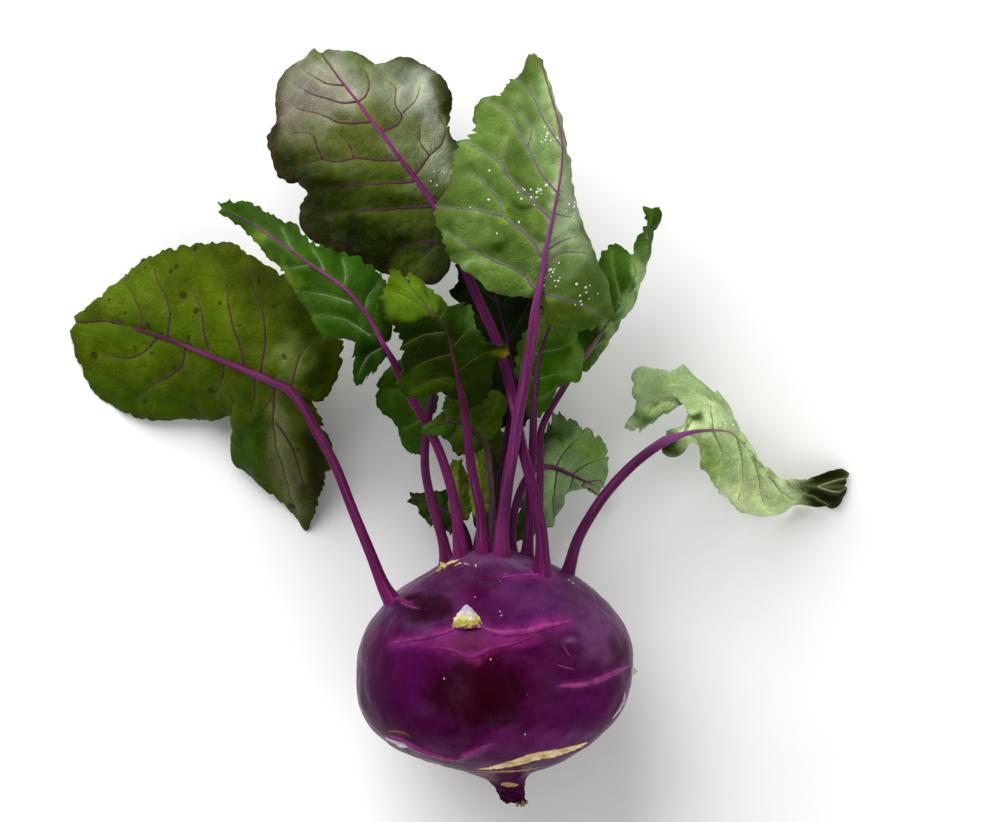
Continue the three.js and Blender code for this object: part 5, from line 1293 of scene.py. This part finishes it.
def scarred_skin(points, height, tint, cork):
    """Height, colour and corkiness with the leaf scars and the torn lines."""
    for number, (line, tall, wide, code, corky) in enumerate(SCARS):
        plan, t = dense(line)
        wobble = fields(np.pad(plan, ((0, 0), (0, 1))), 6, (60 + number, 80 + number))
        targets = on_bulb(plan + wobble * 0.22)
        near = np.abs(points[:, None, :2] - targets[None, ::12, :2]).sum(-1).min(1) < 16
        near &= points[:, 2] > BULB_HEIGHT - 12
        distance = np.full(len(points), 99.0)
        place = np.zeros(len(points))
        distance[near], index = nearest(points[near], targets)
        place[near] = t[index]
        taper = tapered(place) * (distance < 20)
        rough = 1 + 0.2 * field(points, 5, 80 + number)
        height = height + taper * tall * rough * bell(distance, wide)
        weight = bell(distance, wide * 1.15) * (0.35 + 0.65 * taper)
        tint = blend(tint, colour(code), np.clip(weight * (0.85 + 0.2 * field(points, 2.2, 90 + number)), 0, 1))
        cork = np.maximum(cork, np.clip(weight * corky * (1 + 0.5 * field(points, 1.8, 95)), 0, 1))
    return height, tint, cork


def build_bulb():
    """The bulb's skin. Gives back its material and its surface, to set the details on."""
    angles = np.concatenate([
        np.linspace(0, math.pi, BULB_MESH["upper"], endpoint=False),
        np.linspace(math.pi, 2 * math.pi, BULB_MESH["lower"], endpoint=False),
    ])
    rings, sides = BULB_MESH["rings"], len(angles)
    along, radius, shift = PROFILE.at(np.linspace(0, 1, rings)).T
    swell = 1 + sum(depth * np.sin(count * angles[None] + twist * along[:, None]) for depth, count, twist in FLUTES)
    reach = radius[:, None] * swell
    points = bulb_point(
        np.cos(angles) * reach, np.sin(angles) * reach, along[:, None] + 0 * reach, shift[:, None] + 0 * reach
    )
    wrapped = np.concatenate([points[:, -1:], points, points[:, :1]], axis=1)
    outward = unit(np.cross(np.gradient(wrapped, axis=0), np.gradient(wrapped, axis=1)))[:, 1:-1]
    outward = facing(outward, points - (0, 0, BULB_HEIGHT))
    flat = points.reshape(-1, 3)
    height = 0.45 * field(flat, 34, 1) + 0.12 * field(flat, 9, 2) + 0.035 * field(flat, 2.8, 3)

    rim = smooth_step(np.hypot(flat[:, 0], flat[:, 1]), 26, 45)
    # Wax bloom with painted sheen: the band towards the crown, the faint rise towards the rim and the spot at the
    # upper right are painted sheen of light.
    bloom_and_sheen = 0.04 * rim + 0.22 * smooth_step(flat[:, 1], 14, 36) + 0.1 * field(flat, 14, 5)
    bloom_and_sheen = bloom_and_sheen + 0.3 * bell(np.hypot(flat[:, 0] - 31, flat[:, 1] - 12), 13)
    tint = patched_skin(flat, blend(colour(BULB_MIDDLE), colour(BULB_RIM), rim))
    height, tint, cork = scarred_skin(flat, height, tint, np.zeros(len(flat)))
    for leaf in LEAVES.values():
        off = np.linalg.norm(flat - leaf["stalk"][0], axis=1)
        height += 1.3 * bell(off, leaf["radii"][0] * 1.5)
        tint = blend(tint, colour(STALK_SCAR), 0.65 * bell(off, leaf["radii"][0] * 1.6))
    stub = smooth_step(-np.repeat(along, sides), 38, 45)
    tint = blend(tint, colour(STUB), 0.75 * stub * (0.6 + 0.4 * np.clip(field(flat, 2.5, 41), -1, 1)))
    cork = np.maximum(cork, 0.4 * stub)
    height += stub * 0.5 * field(flat, 1.8, 43)
    points = points + outward * height.reshape(rings, sides, 1)

    stub_end = points[0].mean(0) + np.array([0, 0.6, 0])
    crown = points[-1].mean(0) - np.array([0, 0.1, 0])
    points = np.vstack([points.reshape(-1, 3), stub_end, crown])
    points[:, 2] = np.maximum(points[:, 2], 0)
    faces = grid_faces(rings, sides, closed=True)[:, ::-1].tolist()
    last, total = (rings - 1) * sides, rings * sides
    for j in range(sides):
        after = (j + 1) % sides
        faces += [[total, j, after], [total + 1, last + after, last + j]]
    tint = np.vstack([tint, colour(STUB_END), colour(CROWN)])
    extra = {"bloom_and_sheen": np.clip(np.append(bloom_and_sheen, [0, 0]), 0, 1), "cork": np.clip(np.append(cork, [1, 0]), 0, 1)}
    material = bulb_material()
    piece = make_piece("bulb_skin", points, faces, material, "bulb_skin", tint, extra)
    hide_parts("bulb")
    return material, BVHTree.FromPolygons(points.tolist(), faces)


def lump(name, centre, size, up, code, seed, roughness, rings=10, sides=16):
    """A small irregular lump of torn tissue: its size along two ways across and up."""
    rng = np.random.default_rng(seed)
    up = unit(np.asarray(up, float))
    side = unit(np.cross(up, (0.3, 1, 0.1)))
    front = np.cross(up, side)
    turn = rng.uniform(0, math.pi)
    side, front = side * math.cos(turn) + front * math.sin(turn), front * math.cos(turn) - side * math.sin(turn)
    low = np.linspace(-0.98, 0.98, rings)
    around = circle(sides)
    flat = np.sqrt(1 - low[:, None] ** 2)
    ball = np.stack([flat * np.cos(around), flat * np.sin(around), low[:, None] + 0 * around], axis=-1)
    ball = ball * (1 + roughness * field(ball, 1.1, seed))[..., None]
    points = (ball * size) @ np.array([side, front, up]) + centre
    tint = mottled(colour(code), ball.reshape(-1, 3), 0.25, 0.8, seed + 1)
    piece = make_piece(name, points.reshape(-1, 3), tube_faces(rings, sides), TORN, "bulb_skin", tint)
    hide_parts("bulb")


def skin_at(tree, plan):
    """Points of the finished bulb's skin seen from above at places in plan, and the way out at each."""
    points, ways = [], []
    for x, y in plan:
        hit, way, _, _ = tree.ray_cast((x, y, ABOVE_BULB), (0, 0, -1))
        if hit is None:
            hit, way, _, _ = tree.find_nearest((x, y, BULB_HEIGHT))
        points.append(hit)
        ways.append(way)
    points, ways = np.array(points), np.array(ways)
    return points, facing(ways, points - (0, 0, BULB_HEIGHT))


def build_ridges(material, tree):
    """Firm lips of skin along some of the scars."""
    parts = []
    for number, radius, code in RIDGES:
        plan, t = dense(SCARS[number][0], 0.5)
        centres, ups = skin_at(tree, plan)
        radii = radius * tapered(t, 0.004, 0.996) * (1 + 0.14 * field(centres, 7, 510 + number)) + 0.05
        centres = smoothed(centres, 2) + ups * (-0.42 * radii[:, None] - 0.05)
        ring, faces = tube_parts(centres, radii, RIDGE_SIDES, smoothed(ups, 2))
        inner, ways, reach = (np.repeat(values, RIDGE_SIDES, axis=0) for values in (centres, ups, radii))
        crest = ((ring - inner) * ways).sum(1) / reach
        ring = ring + (ring - inner) * (0.1 * field(ring, 1.6, 515))[:, None]
        # Painted shade down the lip's sides and a painted highlight at its crest, by how far each point faces out.
        shade = blend(colour(LIP_SHADE), colour(code), smooth_step(crest, 0.2, 1))
        parts.append((ring, faces, mottled(shade, ring, 0.18, 3.5, 516)))
    points, faces, tint = joined(parts)
    extra = {"bloom_and_sheen": np.full(len(points), 0.1), "cork": np.zeros(len(points))}
    piece = make_piece("scar_ridges", points, faces, material, "bulb_skin", tint, extra)
    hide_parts("bulb")


def skin_strip(tree, line, wide, steps):
    """A strip that runs down the bulb's skin from a plan line: points, ways out, share along the line."""
    plan, t = dense(line, 0.4)
    places, ways = skin_at(tree, plan)
    along = unit(np.gradient(smoothed(places, 2), axis=0))
    down = facing(unit(np.cross(along, ways)), places * (1, 1, 0) + (0, 0, -20))
    width = wide * np.sin(math.pi * np.clip(t, 0.01, 0.99)) ** 0.55
    rows, outs = [places], [ways]
    for _ in range(steps):
        found = [tree.find_nearest(tuple(p + way * step))[:2] for p, way, step in zip(rows[-1], down, width / steps)]
        normals = facing(np.array([normal for _, normal in found]), outs[-1])
        rows.append(np.array([hit for hit, _ in found]))
        outs.append(normals)
        down = unit(down - normals * (down * normals).sum(1, keepdims=True))
    return np.stack(rows, axis=1), np.stack(outs, axis=1), t


def build_cork(tree):
    """Torn, corky skin: ragged sheets that run down the bulb's skin from a line in plan."""
    steps = 18
    u = np.linspace(-1, 1, steps + 1)
    for number, (name, line, wide, code) in enumerate(CORK):
        sheet, out, t = skin_strip(tree, line, wide, steps)
        ends = np.sin(math.pi * np.clip(t, 0, 1))[:, None] ** 0.3
        rise = 0.45 * (1 - np.abs(u) ** 5) * ends - 0.16
        rise = rise + 0.12 * field(sheet, 2.6, 520 + number) + 0.07 * field(sheet * (0.3, 2.2, 1), 1.6, 524 + number)
        under = sheet - out * CORK_THICKNESS
        sheet = sheet + out * rise[..., None]
        flat = sheet.reshape(-1, 3)
        across = np.abs(np.tile(u, len(t)))
        tint = blend(colour(code), 0.5 * colour(code), smooth_step(across, 0.72, 1))
        tint = mottled(tint, flat * (0.35, 1.6, 1), 0.2, 2.4, 530)
        if name == "cork_band":
            for x, y in CORK_STAINS:
                off = np.hypot((flat[:, 0] - x) / 1.8, (flat[:, 1] - y) / 0.8)
                tint = blend(tint, colour("#a89a24"), 0.75 * bell(off, 1))
        points, faces = np.concatenate([flat, under.reshape(-1, 3)]), sheet_faces(*sheet.shape[:2])
        piece = make_piece(name, points, faces, TORN, "bulb_skin", np.vstack([tint, tint]))
        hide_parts("bulb")


def build_stump():
    """What is left of a cut leaf: a small torn cone, pale at its top and crumbly yellow-green below."""
    foot, top = on_bulb([(-9.9, 12.2)], -1.6)[0], on_bulb([(-9.0, 17.2)], 3.8)[0]
    up = unit(top - foot)
    side = unit(np.cross((0, 1, 0), up))
    front = np.cross(up, side)
    sides, levels = 40, 22
    around = circle(sides)
    t = np.linspace(0, 1, levels)
    width = 5.7 * (1 - t) ** 0.8 + 0.3
    depth = 3.3 * (1 - t) ** 0.8 + 0.25
    axis = (foot + (top - foot) * t[:, None])[:, None]
    body = axis + (
        np.cos(around)[None, :, None] * side * width[:, None, None]
        + np.sin(around)[None, :, None] * front * depth[:, None, None]
    )
    crumble = 0.35 * field(body, 2.6, 540) + 0.24 * field(body, 0.9, 541)
    crumble = crumble * (smooth_step(t, 0.1, 0.3) * (1 - 0.7 * smooth_step(t, 0.45, 0.7)))[:, None]
    body = body + unit(body - axis) * crumble[..., None]
    flat = body.reshape(-1, 3)
    level = np.repeat(t, sides) + 0.12 * field(flat, 2, 542)
    tint = blend(colour("#641a5c"), colour("#a8a02c"), smooth_step(level, 0.1, 0.18))
    tint = blend(tint, colour("#d8d0b4"), smooth_step(level, 0.34, 0.46))
    tint = blend(tint, colour("#b8a6bc"), smooth_step(level, 0.52, 0.72))
    tint = blend(tint, colour("#b8ac3c"), 0.7 * smooth_step(field(flat, 1.6, 543), 0.2, 1) * (level < 0.55))
    piece = make_piece("leaf_stump", flat, tube_faces(levels, sides), TORN, "bulb_skin", tint)
    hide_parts("bulb")


def build_bulb_details(material, tree):
    """What stands on the bulb: lips of scars, cork, the cut stump, the healed knob, torn bits, and pale flecks that
    are painted glints.
    """
    build_ridges(material, tree)
    build_cork(tree)
    build_stump()
    knob = on_bulb([(43.6, -2.8)], 0.1)[0]
    lump("knob", knob, (1.5, 1.2, 1.5), (1, 0, 0.4), "#c4c09c", 320, 0.25)
    # The crown's torn bits, and after them the pale flecks that are painted glints.
    bits = CROWN_BITS + [(spot, (0.34, 0.24, 0.2), "#b8a8bc") for spot in GLINT_FLECKS]
    for number, (spot, size, code) in enumerate(bits):
        place = on_bulb([spot], 0.3)[0]
        lump(f"crown_bit_and_glint_{number}", place, size, place - (0, 0, BULB_HEIGHT), code, 330 + number, 0.35)
    for number, (x, z, size) in enumerate(STUB_FRAYS):
        centre = bulb_point(x, z, -46.3, 5.6)
        size = (size, size * 0.7, size * 0.9)
        lump(f"stub_fray_{number}", centre, size, (0.3, -1, 0), "#94784c", 350 + number, 0.4, 8, 10)


# ---------------------------------------------------------------- water drops

DROP_SIZE, DROP_HEIGHT, DROP_SUNK = (0.2, 0.52), 0.62, 0.05  # radius, height as a share of it, millimetres
# For each leaf: plan centre and spread of a group of drops, and half the number of tries at one.
DROPS = {
    "top_middle": [
        ((13.7, 152.4), 2.4, 7), ((24, 148), 1.6, 5), ((19, 125), 2.6, 7), ((29, 120), 2.2, 5), ((16.6, 170.5), 2, 5),
        ((6, 150), 5, 6),
    ],
    "drooping": [
        ((79, 57), 1.8, 6), ((87, 59), 2, 7), ((95, 58), 2, 6), ((77, 67), 2, 5), ((88, 54), 1.8, 5),
        ((77, 77), 1.4, 3),
    ],
    "top_left": [((-19, 158), 1.4, 2)],
}


def build_drops(name, tree):
    """Flattened drops of water, scattered over a blade."""
    rng = np.random.default_rng(len(name))
    parts = []
    sides, rings = 12, 6
    low = np.linspace(0, math.pi / 2 * 0.94, rings)[:, None, None]
    for centre, scatter, count in DROPS[name]:
        for _ in range(2 * count):
            x, y = rng.normal(centre, scatter)
            size = rng.uniform(*DROP_SIZE)
            found = seen_from_above(tree, x, y)
            if found is None:
                continue
            hit, up = found
            side = unit(np.cross(up, (0.2, 1, 0)))
            ring = np.cos(low) * around_ring(sides, side, np.cross(up, side))
            rise = np.sin(low) * up * DROP_HEIGHT
            points = (ring + rise) * size + hit - up * DROP_SUNK
            parts.append((points.reshape(-1, 3), tube_faces(rings, sides)))
    make_piece("drops_" + name, *joined(parts), WATER, None)


# ---------------------------------------------------------------- the plant

for number, name in enumerate(LEAVES):
    surface = build_leaf(number, name)
    build_stalk(number, name)
    if name in DROPS:
        build_drops(name, surface)
build_bulb_details(*build_bulb())

# ---------------------------------------------------------------- floor, light and camera


FLOOR_REACH = 6  # metres each way from the origin
FLOOR_DROP = 0.0005  # the floor lies this much under the part
CENTRE = (0.00195, 0.0786, 0.045)  # the middle of the picture, and what the lamps are aimed at
SKY_STRENGTH = 0.44
PHOTO_PIXELS, PIXEL_MM = 1006, 0.325  # the photograph's width, and what a pixel of it shows
LENS, SENSOR = 1000, 36  # a very long lens far away, so that the view is nearly parallel
LENS_HEIGHT = 0.05  # the picture is as wide as the photograph at this height


def build_floor():
    material, tree = new_material("pale_floor")
    place = millimetres(tree)
    tone = mixed(tree, spread(tree, noise(tree, place, 60, 2), 0.3, 0.7), colour("#f8f8f7"), colour("#fbfbfb"))
    finish_material(tree, tone, 0.9)
    mesh = bpy.data.meshes.new("floor")
    corners = [(x * FLOOR_REACH, y * FLOOR_REACH, -FLOOR_DROP) for x, y in ((-1, -1), (1, -1), (1, 1), (-1, 1))]
    mesh.from_pydata(corners, [], [(0, 1, 2, 3)])
    mesh.materials.append(material)
    floor = bpy.data.objects.new("floor", mesh)
    bpy.context.scene.collection.objects.link(floor)


def area_light(name, place, size, power):
    """A round white lamp aimed at the plant."""
    light = bpy.data.lights.new(name, "AREA")
    light.shape = "DISK"
    light.size = size
    light.energy = power
    lamp = bpy.data.objects.new(name, light)
    lamp.location = place
    way = Vector(CENTRE) - Vector(place)
    lamp.rotation_euler = way.to_track_quat("-Z", "Y").to_euler()
    bpy.context.scene.collection.objects.link(lamp)


build_floor()
area_light("key", (-0.6, 1.05, 1.05), 1.6, 30)
area_light("fill", (0.9, -0.8, 0.9), 1.4, 6)

world = bpy.data.worlds.new("studio")
world.use_nodes = True
sky = world.node_tree.nodes["Background"]
sky.inputs["Color"].default_value = (1, 1, 1, 1)
sky.inputs["Strength"].default_value = SKY_STRENGTH
bpy.context.scene.world = world
bpy.context.scene.view_settings.view_transform = "Standard"

camera_data = bpy.data.cameras.new("camera")
camera_data.lens = LENS
camera_data.sensor_width = SENSOR
camera_data.clip_end = 100
camera = bpy.data.objects.new("camera", camera_data)
picture_width = PHOTO_PIXELS * PIXEL_MM * MM
camera.location = (CENTRE[0], CENTRE[1], LENS_HEIGHT + picture_width * LENS / SENSOR)
bpy.context.scene.collection.objects.link(camera)
bpy.context.scene.camera = camera
